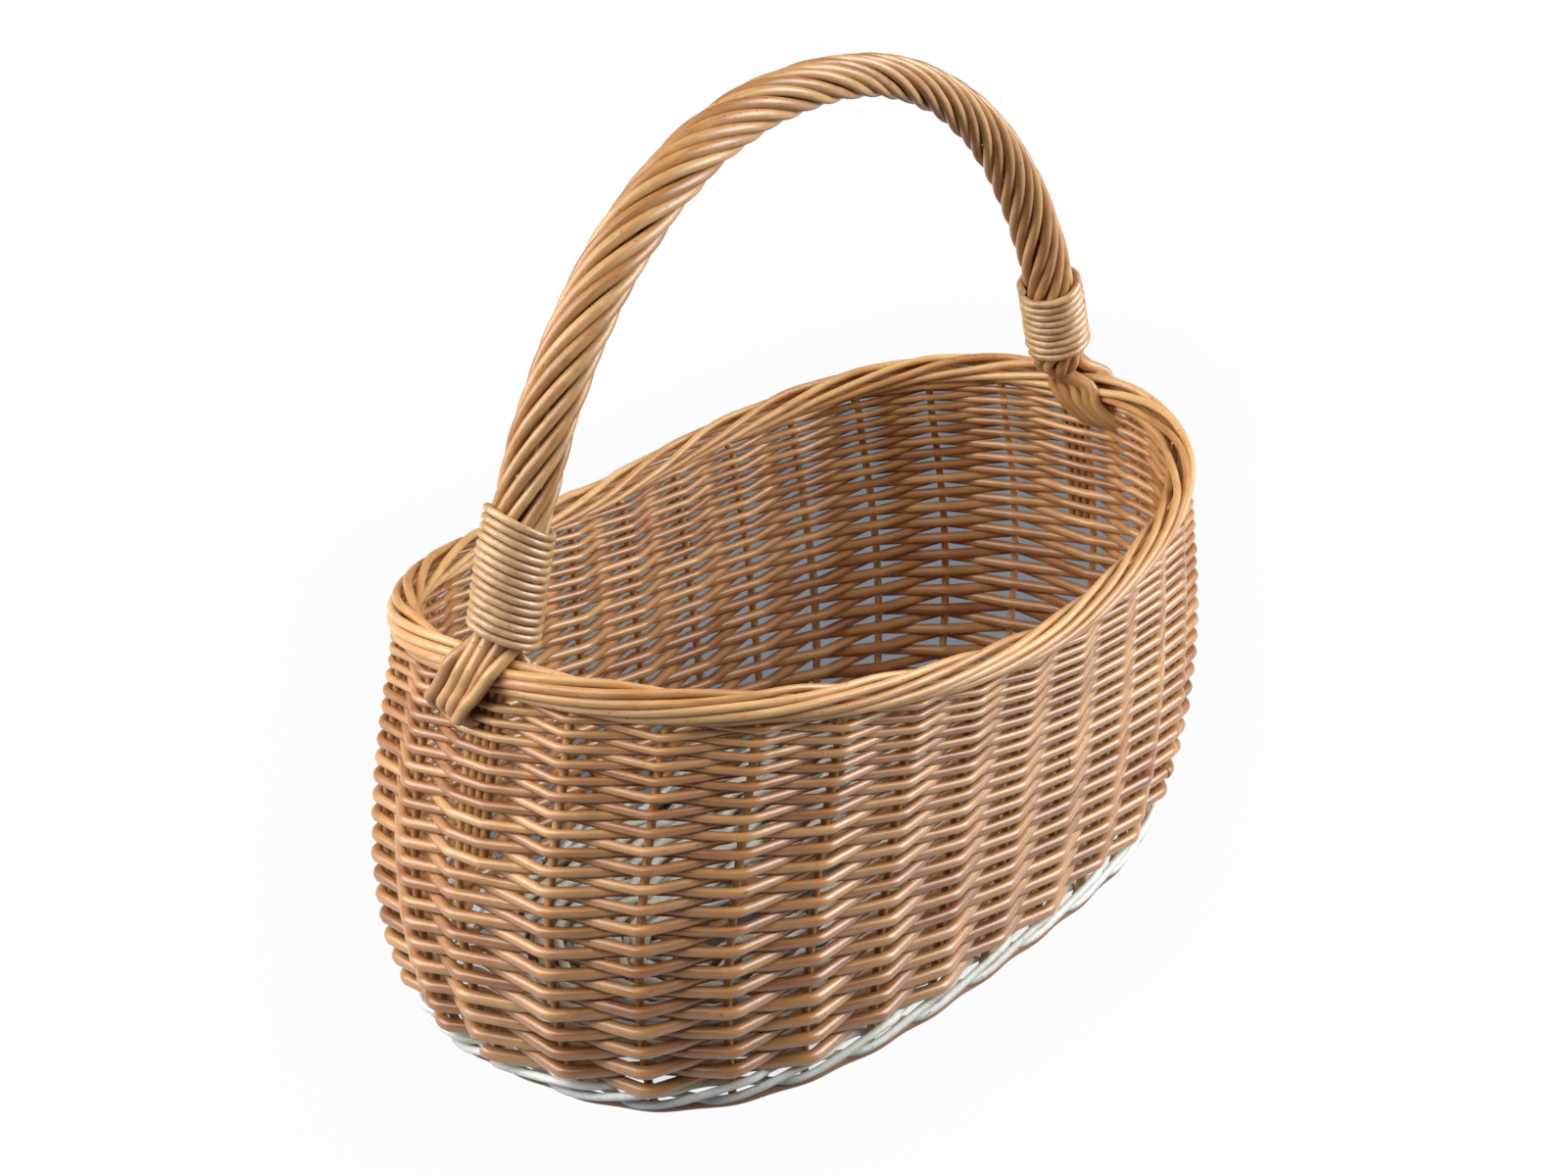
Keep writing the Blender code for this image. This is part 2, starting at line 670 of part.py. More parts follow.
def bow_tail(turn, slot):
    """A bow rod's end: inside the border, then into the wall beside its stake."""
    inset = -(BORDER_OUTER + REST_GAP + BOW_RADIUS)
    along = slot*UPRIGHT_SPACING
    rim = rim_height(turn)
    upper = border_place(turn, 0.0, inset, along)
    upper.z = rim + BORDER_OUTER*0.8
    lower = border_place(turn, 0.0, inset, along)
    lower.z = rim - BORDER_OUTER
    return [upper, lower] + wall_run(turn, rim - BOW_CROSSING_DEPTH, rim - BOW_TAIL_DEPTH, 0.0, along)


def make_bow(arch, finish):
    """Three rods that carry the handle, bundled inside the rope and woven into the wall."""
    steps = rope_steps()
    for index in range(BOW_RODS):
        angle = 2.0*math.pi*(index - 1)/BOW_RODS + math.pi
        slot = round(math.sin(angle)*1.1)
        points = list(reversed(bow_tail(HANDLE_STATIONS[1]/STAKE_COUNT, slot)))
        widths = [BOW_DIAMETER]*len(points)
        for step in range(1, steps):
            share = step/steps
            width = thickness(share, BOW_DIAMETER, BOW_TOP_DIAMETER)
            radius = (width + REST_GAP)/math.sqrt(BOW_RODS)
            points.append(arch.around(share*arch.length, angle, radius))
            widths.append(width)
        tail = bow_tail(0.0, -slot)
        points += tail
        widths += [BOW_DIAMETER]*len(tail)
        shares = [width/BOW_DIAMETER for width in widths]
        rod("handle_bow_%d" % (index + 1), points, BOW_DIAMETER, finish, shares=shares)


def binding_points(arch, start, pitch, turns):
    """A helix round the strands, with a straight end of one rod's thickness each way."""
    points = []
    total = turns*BINDING_POINTS
    for step in range(total + 1):
        way = start + pitch*step/BINDING_POINTS
        share = min(max(way/arch.length, 0.0), 1.0)
        bundle = rope_radius(share, arch) + thickness(share, STRAND_RADIUS, STRAND_TOP_DIAMETER/2.0)
        radius = (bundle + REST_GAP + BINDING_RADIUS)/math.cos(math.pi/BINDING_POINTS)
        points.append(arch.around(way, 2.0*math.pi*step/BINDING_POINTS, radius))
    return points


def least_gap(points, per_turn, diameter):
    """Least gap between a winding and itself, from its points."""
    places = np.array([tuple(point) for point in points])
    least = math.inf
    for index in range(len(places) - per_turn//2):
        others = places[index + per_turn//2:]
        least = min(least, float(np.linalg.norm(others - places[index], axis=1).min()))
    return least - diameter


def make_bindings(arch, finish):
    """Thin willow wound round each foot of the handle."""
    right_start = arch.length - RIGHT_BINDING_PITCH*RIGHT_BINDING_TURNS
    windings = (("left_binding", 0.0, LEFT_BINDING_PITCH, LEFT_BINDING_TURNS),
                ("right_binding", right_start, RIGHT_BINDING_PITCH, RIGHT_BINDING_TURNS))
    for name, start, pitch, turns in windings:
        points = binding_points(arch, start, pitch, turns)
        print(name, "least gap to itself, mm:", round(1000.0*least_gap(points, BINDING_POINTS, BINDING_DIAMETER), 2))
        rod(name, points, BINDING_DIAMETER, finish)


def main():
    """Clear the scene and weave the basket."""
    for old in list(bpy.data.objects):
        bpy.data.objects.remove(old)
    for name in (COLLECTION, COLLECTION + "_cutters"):
        bpy.context.scene.collection.children.link(bpy.data.collections.new(name))
    stake_willow = material("stake_willow", BROWN, 0.5)
    siding_willow = material("siding_willow", BUFF, 0.45)
    handle_willow = material("handle_willow", PALE, 0.45)
    binding_willow = material("binding_willow", PALE, 0.4)
    white_willow = material("white_willow", WHITE, 0.5)
    base_willow = material("base_willow", BROWN, 0.6)
    make_foot(base_willow)
    make_cross_sticks(base_willow)
    make_long_sticks(base_willow)
    make_base_weave(white_willow)
    make_wale(white_willow)
    make_stakes(stake_willow)
    make_siding(siding_willow)
    arch = Arch()
    make_bow(arch, handle_willow)
    make_strands(arch, handle_willow)
    make_bindings(arch, binding_willow)


main()
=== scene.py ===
"""Oval foraging basket of willow: every rod of the wall, border, base and roped handle, and its stage."""
import functools
import math
import random

import bpy
import numpy as np
from bpy.props import FloatProperty, FloatVectorProperty, IntProperty, PointerProperty
from mathutils import Matrix, Vector, noise


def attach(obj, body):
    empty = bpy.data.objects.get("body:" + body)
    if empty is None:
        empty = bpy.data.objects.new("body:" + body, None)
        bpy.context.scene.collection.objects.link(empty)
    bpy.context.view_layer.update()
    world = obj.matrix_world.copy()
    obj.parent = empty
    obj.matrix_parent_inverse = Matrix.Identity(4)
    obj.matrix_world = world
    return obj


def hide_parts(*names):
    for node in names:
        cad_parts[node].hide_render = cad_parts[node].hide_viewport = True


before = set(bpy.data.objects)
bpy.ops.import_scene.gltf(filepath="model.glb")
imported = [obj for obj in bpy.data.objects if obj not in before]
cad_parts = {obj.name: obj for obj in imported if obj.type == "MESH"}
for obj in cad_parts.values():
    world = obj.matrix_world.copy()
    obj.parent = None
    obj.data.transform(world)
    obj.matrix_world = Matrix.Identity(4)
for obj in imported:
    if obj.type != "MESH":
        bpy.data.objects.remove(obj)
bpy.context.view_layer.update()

bl_info = {
    "name": "Foraging Basket",
    "version": (1, 0, 0),
    "blender": (4, 5, 0),
    "location": "3D View > Sidebar > Basket",
    "description": "Weaves an oval willow basket with a roped handle, rod by rod",
    "category": "Add Mesh",
}


def length(name, description, default):
    """A size in metres."""
    return FloatProperty(name=name, description=description, default=default, min=0.0, precision=4, unit="LENGTH")


def count(name, description, default):
    """A number of rods, rows or turns."""
    return IntProperty(name=name, description=description, default=default, min=1)


def colour(name, description, default):
    """A colour of the willow."""
    return FloatVectorProperty(name=name, description=description, default=default, size=3, min=0.0, max=1.0,
                               subtype="COLOR")


class BasketWall(bpy.types.PropertyGroup):
    """The woven wall, measured to the middle of its stakes."""
    rim_half_length: length("Rim half length", "Half of the border's length", 0.220)
    rim_half_width: length("Rim half width", "Half of the border's width", 0.1305)
    side_height: length("Side height", "Height of the border in the middle of the long sides", 0.1706)
    end_rise: length("End rise", "How much higher the border is at both ends", 0.0259)
    base_half_length: length("Base half length", "Half of the wall's length at the bottom", 0.2062)
    base_half_width: length("Base half width", "Half of the wall's width at the bottom", 0.1096)
    belly_length: length("Belly at the ends", "How far the ends swell", 0.0241)
    belly_width: length("Belly at the sides", "How far the long sides swell", 0.0031)
    stakes: count("Stakes", "Upright stakes round the wall", 30)
    rows: count("Rows", "Rows of siding from the wale to the border", 40)


class BasketRods(bpy.types.PropertyGroup):
    """How thick each kind of rod is."""
    stake: length("Stake", "Diameter of a stake", 0.0041)
    border: length("Border rod", "Diameter of a stake where it lies in the border", 0.0037)
    siding_low: length("Lowest siding", "Diameter of the siding in its lowest row", 0.0060)
    siding_high: length("Highest siding", "Diameter of the siding in its highest row", 0.0033)
    wale: length("Wale", "Diameter of a rod in the white band", 0.0037)
    foot: length("Foot rod", "Diameter of the rod round the bottom edge", 0.0051)
    base: length("Base weaving", "Diameter of a rod woven through the base", 0.0044)
    cross_stick: length("Cross stick", "Diameter of a split base stick", 0.0070)
    long_stick: length("Long stick", "Diameter of a threaded base stick", 0.0038)
    bow: length("Bow", "Diameter of a rod inside the handle", 0.0042)
    strand_foot: length("Strand at the foot", "Diameter of a handle strand at its feet", 0.0056)
    strand_top: length("Strand at the top", "Diameter of a handle strand where it is thinnest", 0.00445)
    binding: length("Binding", "Diameter of the willow wound round the feet", 0.0040)


class BasketHandle(bpy.types.PropertyGroup):
    """The roped arch and its bindings."""
    inset: length("Inset", "How far the arch's feet stand inside the rim's ends", 0.0009)
    spring_drop: length("Spring drop", "Depth under the rim's ends where the arch springs", 0.063)
    rise: length("Rise", "Height of the even arch's middle line over the rim's ends", 0.1953)
    lean: length("Lean", "How far the arch leans to its left foot", 0.0014)
    shoulder: length("Shoulder", "How far the arch's left shoulder is bent out", 0.0066)
    strands: count("Strands", "Rods laid round the bow", 10)
    turns: FloatProperty(name="Turns", description="Turns of the rope from foot to foot", default=4.3, min=0.5)
    foot_radius: length("Rope radius at the feet", "Outer radius of the rope at its feet", 0.0126)
    top_radius: length("Rope radius at the top", "Outer radius of the rope at its thinnest", 0.0098)
    left_turns: count("Left binding turns", "Turns of willow round the left foot", 14)
    right_turns: count("Right binding turns", "Turns of willow round the right foot", 9)
    left_pitch: length("Left binding pitch", "Way that one turn of the left binding climbs", 0.0035)
    right_pitch: length("Right binding pitch", "Way that one turn of the right binding climbs", 0.0041)


class BasketColours(bpy.types.PropertyGroup):
    """Colours of the willow: a deep and a pale one for each finish."""
    siding_deep: colour("Siding, deep", "Darkest streaks of the siding", (0.215, 0.058, 0.011))
    siding_pale: colour("Siding, pale", "Palest streaks of the siding", (0.61, 0.33, 0.126))
    stake_deep: colour("Stakes, deep", "Darkest streaks of the stakes and border", (0.345, 0.13, 0.033))
    stake_pale: colour("Stakes, pale", "Palest streaks of the stakes and border", (0.74, 0.465, 0.21))
    handle_deep: colour("Handle, deep", "Darkest streaks of the handle", (0.27, 0.094, 0.02))
    handle_pale: colour("Handle, pale", "Palest streaks of the handle", (0.61, 0.375, 0.16))
    binding_deep: colour("Binding, deep", "Darkest streaks of the bindings", (0.33, 0.155, 0.055))
    binding_pale: colour("Binding, pale", "Palest streaks of the bindings", (0.67, 0.45, 0.23))
    # The deep white is mostly what the base weave shows: it sets the base weave's painted shade as well as the dark
    # streaks of the white rods.
    white_deep: colour("White willow, deep", "Darkest streaks of the white rods", (0.42, 0.395, 0.31))
    white_pale: colour("White willow, pale", "Palest streaks of the white rods", (0.87, 0.91, 0.87))
    base_deep: colour("Base, deep", "Darkest streaks of the foot rod and sticks", (0.2, 0.075, 0.03))
    base_pale: colour("Base, pale", "Palest streaks of the foot rod and sticks", (0.46, 0.225, 0.1))
    speck: colour("Specks", "Small knots and scars", (0.16, 0.05, 0.025))


# The wall

RIM_OVAL_POWER, BASE_OVAL_POWER, RIM_RISE_POWER = 2.37, 2.9, 1.34
BELLY_LENGTH_POWER, BELLY_WIDTH_POWER = 1.3, 2.4
BASE_CROWDING = 0.0124
OUTLINE_SAMPLES = 1440
GAP = 0.0002
ROW_RATIO = 2.3
KINK = 0.0013
BORDER_LAY = 40.0
BORDER_START = -82.0


def wall():
    """Sizes of the wall."""
    return bpy.context.scene.basket_wall


def rods():
    """Diameters of the rods."""
    return bpy.context.scene.basket_rods


def handle():
    """Sizes of the handle."""
    return bpy.context.scene.basket_handle


@functools.lru_cache(maxsize=None)
def oval_samples(half_length, half_width, power):
    """Places round a rounded oval, and the length of the way to each."""
    angles = np.linspace(0.0, 2.0*math.pi, OUTLINE_SAMPLES + 1)
    cosines, sines = np.cos(angles), np.sin(angles)
    xs = half_length*np.sign(cosines)*np.abs(cosines)**(2.0/power)
    ys = half_width*np.sign(sines)*np.abs(sines)**(2.0/power)
    ways = np.concatenate(([0.0], np.cumsum(np.hypot(np.diff(xs), np.diff(ys)))))
    return xs, ys, ways


def swell(share, power):
    """Belly of the wall: nothing at base and rim, whole in between, lower for a higher power."""
    peak = 1.0/(1.0 + power)
    return share*(1.0 - share)**power/(peak*(1.0 - peak)**power)


@functools.lru_cache(maxsize=None)
def wall_oval(thousandth):
    """The wall's oval at a thousandth of its height."""
    share, size = thousandth/1000.0, wall()
    half_length = size.base_half_length + (size.rim_half_length - size.base_half_length)*share
    half_width = size.base_half_width + (size.rim_half_width - size.base_half_width)*share
    power = BASE_OVAL_POWER + (RIM_OVAL_POWER - BASE_OVAL_POWER)*share
    half_length += size.belly_length*swell(share, BELLY_LENGTH_POWER)
    half_width += size.belly_width*swell(share, BELLY_WIDTH_POWER)
    return oval_samples(half_length, half_width, power)


def oval_point(thousandth, turn):
    """Place a share of the way round the wall's oval, counted from +X towards +Y."""
    xs, ys, ways = wall_oval(thousandth)
    way = (turn % 1.0)*ways[-1]
    return float(np.interp(way, ways, xs)), float(np.interp(way, ways, ys))


@functools.lru_cache(maxsize=None)
def rim_height(turn):
    """Height of the middle of the border."""
    size = wall()
    x = oval_point(1000, turn)[0]
    return size.side_height + size.end_rise*abs(x/size.rim_half_length)**RIM_RISE_POWER


@functools.lru_cache(maxsize=None)
def wall_frame(turn, thousandth):
    """Place on the wall, with its outward and forward directions."""
    step = 0.35/wall().stakes
    crowding = BASE_CROWDING*(1.0 - thousandth/1000.0)
    spots = [turn + offset for offset in (-step, 0.0, step)]
    before, (x, y), after = (oval_point(thousandth, spot - crowding*math.sin(4.0*math.pi*spot)) for spot in spots)
    forward = Vector((after[0] - before[0], after[1] - before[1], 0.0)).normalized()
    outward = Vector((forward.y, -forward.x, 0.0))
    return Vector((x, y, rim_height(turn)*thousandth/1000.0)), outward, forward


def wall_place(turn, height, outset=0.0, along=0.0):
    """Place beside the wall at a height, set out from it and moved along it."""
    turn = round(turn, 6)
    thousandth = min(max(round(1000.0*height/rim_height(turn)), 0), 1000)
    spot, outward, forward = wall_frame(turn, thousandth)
    other = wall_frame(turn, min(thousandth + 20, 1000))[0]
    near = wall_frame(turn, max(thousandth - 20, 0))[0]
    lean = (other - near).dot(outward)/max(other.z - near.z, 1e-6)
    spot = spot + outward*(outset*math.hypot(1.0, lean) + lean*(height - spot.z)) + forward*along
    return Vector((spot.x, spot.y, height))


def border_place(turn, angle, radius, along=0.0):
    """Place round the middle of the border: 0 is outside it and 90 degrees on top."""
    spot, outward, forward = wall_frame(round(turn, 6), 1000)
    spot = spot + outward*radius*math.cos(angle) + forward*along
    spot.z += radius*math.sin(angle)
    return spot


def wave(place, seed, size=0.02):
    """Slow random wave between -1 and 1 along a rod."""
    return noise.noise(Vector((place/size, seed*7.31, seed*1.7 + 0.4)))*1.6


def wave_vector(place, seed, size=0.02):
    """Slow random wander along a rod."""
    return Vector([wave(place, seed + 11.0*axis, size) for axis in range(3)])


# Rods as meshes

class Rod:
    """One willow rod: places, radii and how light it is, from 0 to 1."""

    def __init__(self, places, radii, tone):
        self.places = [Vector(place) for place in places]
        self.radii = list(radii) if hasattr(radii, "__len__") else [radii]*len(self.places)
        self.tones = list(tone) if hasattr(tone, "__len__") else [tone]*len(self.places)


def rod_tree():
    """Node tree that gives each line of points its round section, caps and attributes."""
    name = "Willow Rod"
    if name in bpy.data.node_groups:
        return bpy.data.node_groups[name]
    tree = bpy.data.node_groups.new(name, "GeometryNodeTree")
    face = tree.interface
    face.new_socket("Geometry", in_out="INPUT", socket_type="NodeSocketGeometry")
    for label, default in (("Sides", 10), ("Steps between points", 3)):
        socket = face.new_socket(label, in_out="INPUT", socket_type="NodeSocketInt")
        socket.default_value, socket.min_value = default, 1
    face.new_socket("Willow", in_out="INPUT", socket_type="NodeSocketMaterial")
    face.new_socket("Geometry", in_out="OUTPUT", socket_type="NodeSocketGeometry")
    add, link = tree.nodes.new, tree.links.new
    start, end = add("NodeGroupInput"), add("NodeGroupOutput")
    curve, kind, steps = add("GeometryNodeMeshToCurve"), add("GeometryNodeCurveSplineType"), add("GeometryNodeSetSplineResolution")
    kind.spline_type = "CATMULL_ROM"
    link(start.outputs["Geometry"], curve.inputs["Mesh"])
    link(curve.outputs["Curve"], kind.inputs["Curve"])
    link(kind.outputs["Curve"], steps.inputs["Geometry"])
    link(start.outputs["Steps between points"], steps.inputs["Resolution"])
    circle, ring, place = add("GeometryNodeCurvePrimitiveCircle"), add("GeometryNodeStoreNamedAttribute"), add("GeometryNodeInputPosition")
    circle.inputs["Radius"].default_value = 1.0
    link(start.outputs["Sides"], circle.inputs["Resolution"])
    ring.data_type, ring.domain = "FLOAT_VECTOR", "POINT"
    ring.inputs["Name"].default_value = "ring"
    link(circle.outputs["Curve"], ring.inputs["Geometry"])
    link(place.outputs["Position"], ring.inputs["Value"])
    tube, radius = add("GeometryNodeCurveToMesh"), add("GeometryNodeInputRadius")
    link(steps.outputs["Geometry"], tube.inputs["Curve"])
    link(ring.outputs["Geometry"], tube.inputs["Profile Curve"])
    link(radius.outputs["Radius"], tube.inputs["Scale"])
    tube.inputs["Fill Caps"].default_value = True
    corners, more, cut = add("GeometryNodeInputMeshFaceNeighbors"), add("FunctionNodeCompare"), add("GeometryNodeStoreNamedAttribute")
    more.data_type, more.operation = "INT", "GREATER_THAN"
    more.inputs[3].default_value = 4
    link(corners.outputs["Vertex Count"], more.inputs[2])
    cut.data_type, cut.domain = "FLOAT", "FACE"
    cut.inputs["Name"].default_value = "cut"
    link(tube.outputs["Mesh"], cut.inputs["Geometry"])
    link(more.outputs["Result"], cut.inputs["Value"])
    flat, smooth = add("FunctionNodeBooleanMath"), add("GeometryNodeSetShadeSmooth")
    flat.operation = "NOT"
    link(more.outputs["Result"], flat.inputs[0])
    link(cut.outputs["Geometry"], smooth.inputs["Geometry"])
    link(flat.outputs["Boolean"], smooth.inputs["Shade Smooth"])
    real, finish = add("GeometryNodeRealizeInstances"), add("GeometryNodeSetMaterial")
    link(smooth.outputs["Geometry"], real.inputs["Geometry"])
    link(real.outputs["Geometry"], finish.inputs["Geometry"])
    link(start.outputs["Willow"], finish.inputs["Material"])
    link(finish.outputs["Geometry"], end.inputs["Geometry"])
    return tree


def rod_lines(name, lines):
    """Mesh of bare lines, with each point's radius, tone and way along its rod."""
    mesh = bpy.data.meshes.new(name)
    places, edges, radii, tones, ways = [], [], [], [], []
    for number, line in enumerate(lines):
        first, way = len(places), number*0.613
        for index, place in enumerate(line.places):
            if index:
                edges.append((len(places) - 1, len(places)))
                way += (place - line.places[index - 1]).length
            places.append(place)
            ways.append(way)
        radii += line.radii
        tones += line.tones
        if not len(places) - first == len(line.radii) == len(line.tones):
            raise RuntimeError("a rod of %s has a wrong number of radii or tones" % name)
    mesh.from_pydata(places, edges, [])
    for label, values in (("radius", radii), ("tone", tones), ("way", ways)):
        mesh.attributes.new(label, "FLOAT", "POINT").data.foreach_set("value", np.array(values, np.float32))
    return mesh


def make_piece(name, lines, finish, nodes, sides=10, steps=3):
    """Turn lines into rods of willow, as one plain mesh that stands for its solids."""
    made = bpy.data.objects.new(name, rod_lines(name, lines))
    bpy.context.scene.collection.objects.link(made)
    tree = rod_tree()
    weave = made.modifiers.new("Willow Rod", "NODES")
    weave.node_group = tree
    values = {"Sides": sides, "Steps between points": steps, "Willow": willow(finish)}
    for socket in tree.interface.items_tree:
        if socket.in_out == "INPUT" and socket.name in values:
            weave[socket.identifier] = values[socket.name]
    bpy.context.view_layer.update()
    evaluated = made.evaluated_get(bpy.context.evaluated_depsgraph_get())
    mesh = bpy.data.meshes.new_from_object(evaluated, preserve_all_data_layers=True,
                                           depsgraph=bpy.context.evaluated_depsgraph_get())
    made.modifiers.remove(weave)
    bare = made.data
    made.data = mesh
    bpy.data.meshes.remove(bare)
    mesh.name = name
    if not mesh.polygons:
        raise RuntimeError("%s has no faces" % name)
    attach(made, "root")
    if nodes:
        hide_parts(*nodes)
    return made


# Willow as a material

ROUGHNESS = {"white_willow": 0.55, "base_willow": 0.5}


def willow(slot):
    """Material of one finish of willow, made once."""
    if slot in bpy.data.materials and bpy.data.materials[slot].get("willow"):
        return bpy.data.materials[slot]
    made = bpy.data.materials.new(slot)
    made.name = slot
    made["willow"] = True
    made.use_nodes = True
    tree = made.node_tree
    shader = tree.nodes["Principled BSDF"]
    colours = bpy.context.scene.basket_colours
    finish = slot.split("_")[0]
    deep, pale = getattr(colours, finish + "_deep"), getattr(colours, finish + "_pale")
    grain, patch, scar = willow_patterns(tree)
    ramp = tree.nodes.new("ShaderNodeValToRGB")
    middle = [math.sqrt(low*high) for low, high in zip(deep, pale)]
    ramp.color_ramp.elements[0].color = (*deep, 1.0)
    ramp.color_ramp.elements[0].position = 0.12
    ramp.color_ramp.elements[1].color = (*pale, 1.0)
    ramp.color_ramp.elements[1].position = 0.92
    centre = ramp.color_ramp.elements.new(0.46)
    centre.color = (*[0.5*value + 0.25*(low + high) for value, low, high in zip(middle, deep, pale)], 1.0)
    tone = attribute(tree, "tone").outputs["Fac"]
    light = blend(tree, "MULTIPLY_ADD", tone, 0.55, 0.225)
    light = blend(tree, "MULTIPLY_ADD", patch, 0.55, blend(tree, "SUBTRACT", light, 0.275))
    light = blend(tree, "MULTIPLY_ADD", grain, 0.45, blend(tree, "SUBTRACT", light, 0.225))
    tree.links.new(light, ramp.inputs["Fac"])
    speckled = mix(tree, scar, ramp.outputs["Color"], (*colours.speck, 1.0))
    ends = mix(tree, attribute(tree, "cut").outputs["Fac"], speckled, (0.74, 0.60, 0.42, 1.0))
    tree.links.new(ends, shader.inputs["Base Color"])
    rough = ROUGHNESS.get(slot, 0.36)
    shader.inputs["Coat Weight"].default_value = {"siding_willow": 0.85, "binding_willow": 0.7, "handle_willow": 0.3}.get(slot, 0.2)
    shader.inputs["Coat Roughness"].default_value = 0.36
    tree.links.new(blend(tree, "MULTIPLY_ADD", grain, 0.25, rough - 0.12), shader.inputs["Roughness"])
    bump = tree.nodes.new("ShaderNodeBump")
    bump.inputs["Strength"].default_value = 0.35
    bump.inputs["Distance"].default_value = 0.0003
    relief = blend(tree, "MULTIPLY_ADD", scar, 0.5, blend(tree, "MULTIPLY_ADD", patch, 0.6, grain))
    tree.links.new(relief, bump.inputs["Height"])
    tree.links.new(bump.outputs["Normal"], shader.inputs["Normal"])
    return made


def attribute(tree, name):
    """Reads one of the rods' attributes."""
    node = tree.nodes.new("ShaderNodeAttribute")
    node.attribute_name = name
    return node


def blend(tree, operation, first, second=None, third=None):
    """Arithmetic on sockets and numbers."""
    node = tree.nodes.new("ShaderNodeMath")
    node.operation = operation
    for index, value in enumerate((first, second, third)):
        if isinstance(value, (int, float)):
            node.inputs[index].default_value = value
        elif value is not None:
            tree.links.new(value, node.inputs[index])
    return node.outputs[0]


def mix(tree, share, first, second):
    """Mixes a colour into another by a share."""
    node = tree.nodes.new("ShaderNodeMix")
    node.data_type = "RGBA"
    tree.links.new(share, node.inputs["Factor"])
    tree.links.new(first, node.inputs[6])
    node.inputs[7].default_value = second
    return node.outputs[2]


def rod_space(tree, around, lengthwise):
    """Coordinates on a rod: round it, and along it in millimetres over a length."""
    ring, way, tone = attribute(tree, "ring"), attribute(tree, "way"), attribute(tree, "tone")
    split = tree.nodes.new("ShaderNodeSeparateXYZ")
    join = tree.nodes.new("ShaderNodeCombineXYZ")
    tree.links.new(ring.outputs["Vector"], split.inputs["Vector"])
    for axis in "XY":
        tree.links.new(blend(tree, "MULTIPLY", split.outputs[axis], around), join.inputs[axis])
    shifted = blend(tree, "MULTIPLY_ADD", way.outputs["Fac"], 1000.0/lengthwise,
                    blend(tree, "MULTIPLY", tone.outputs["Fac"], 43.0))
    tree.links.new(shifted, join.inputs["Z"])
    return join.outputs["Vector"]


def willow_patterns(tree):
    """Fine lengthwise grain, slow patches along a rod, and small scars."""
    grain, patch = tree.nodes.new("ShaderNodeTexNoise"), tree.nodes.new("ShaderNodeTexNoise")
    tree.links.new(rod_space(tree, 2.6, 9.0), grain.inputs["Vector"])
    grain.inputs["Scale"].default_value = 1.0
    grain.inputs["Detail"].default_value = 4.0
    grain.inputs["Roughness"].default_value = 0.6
    tree.links.new(rod_space(tree, 0.5, 16.0), patch.inputs["Vector"])
    patch.inputs["Scale"].default_value = 1.0
    patch.inputs["Detail"].default_value = 2.0
    dots = tree.nodes.new("ShaderNodeTexNoise")
    tree.links.new(rod_space(tree, 2.0, 2.2), dots.inputs["Vector"])
    dots.inputs["Scale"].default_value = 0.9
    dots.inputs["Detail"].default_value = 1.0
    scar = tree.nodes.new("ShaderNodeMapRange")
    tree.links.new(dots.outputs["Fac"], scar.inputs["Value"])
    scar.inputs["From Min"].default_value = 0.69
    scar.inputs["From Max"].default_value = 0.78
    scar.inputs["To Max"].default_value = 0.7
    return grain.outputs["Fac"], patch.outputs["Fac"], scar.outputs["Result"]


# Where rods lie

def foot_top():
    """Height of the top of the foot rod."""
    return rods().foot*0.86


def siding_low():
    """Height of the lowest row of siding."""
    return foot_top() + 2.5*wale_step() + rods().siding_low*0.5 - 0.0004


def wale_step():
    """Height from rod to rod in the white band."""
    return rods().wale + 0.0002


def border_radius():
    """Radius of the ring of rods that makes the border, to their middles."""
    return (rods().border + 0.0001)*0.5/math.sin(math.radians(BORDER_LAY*0.5))


def border_outer():
    """Radius of the whole border."""
    return border_radius() + rods().border*0.5


def siding_top(turn):
    """Height of the highest row, just under the border."""
    return rim_height(round(turn, 6)) - border_radius() - rods().siding_high*0.5 + 0.0012


def row_share(row):
    """Share of the siding's height at a row: rows are higher where rods are thicker."""
    share = row/wall().rows
    return (ROW_RATIO*share + (1.0 - ROW_RATIO)*share**2/2.0)/((1.0 + ROW_RATIO)/2.0)


def upright_spacing():
    """Way from rod to rod where the handle's rods stand beside their stake."""
    return rods().stake + 0.0002


def stake_shift(station):
    """How far a stake stands along the wall from its station, beside the handle's rods."""
    return -2.0*upright_spacing() if station % (wall().stakes//2) == 0 else 0.0


# Rods of each piece

def foot_lines():
    """Rod round the bottom edge, slightly scalloped between the stakes, whose ends lie side by side."""
    places, radii, stakes = [], [], wall().stakes
    steps = stakes*6
    for step in range(-5, steps + 6):
        station = step/6.0
        spot, outward, _ = wall_frame(round(station/stakes, 6), 0)
        overlap = max(0.0, 5.5 - min(step + 5, steps + 5 - step))/5.5
        side = (1.0 if step < steps/2 else -1.0)*overlap*rods().foot*0.24
        out = 0.0024 + 0.0007*math.cos(2.0*math.pi*station) + side
        spot = spot + outward*out
        places.append((spot.x, spot.y, rods().foot*0.5 + 0.00015 + 0.00012*wave(station*0.02, 3.0)))
        radii.append(rods().foot*0.5*(1.0 - 0.45*overlap))
    return [Rod(places, radii, 0.45)]


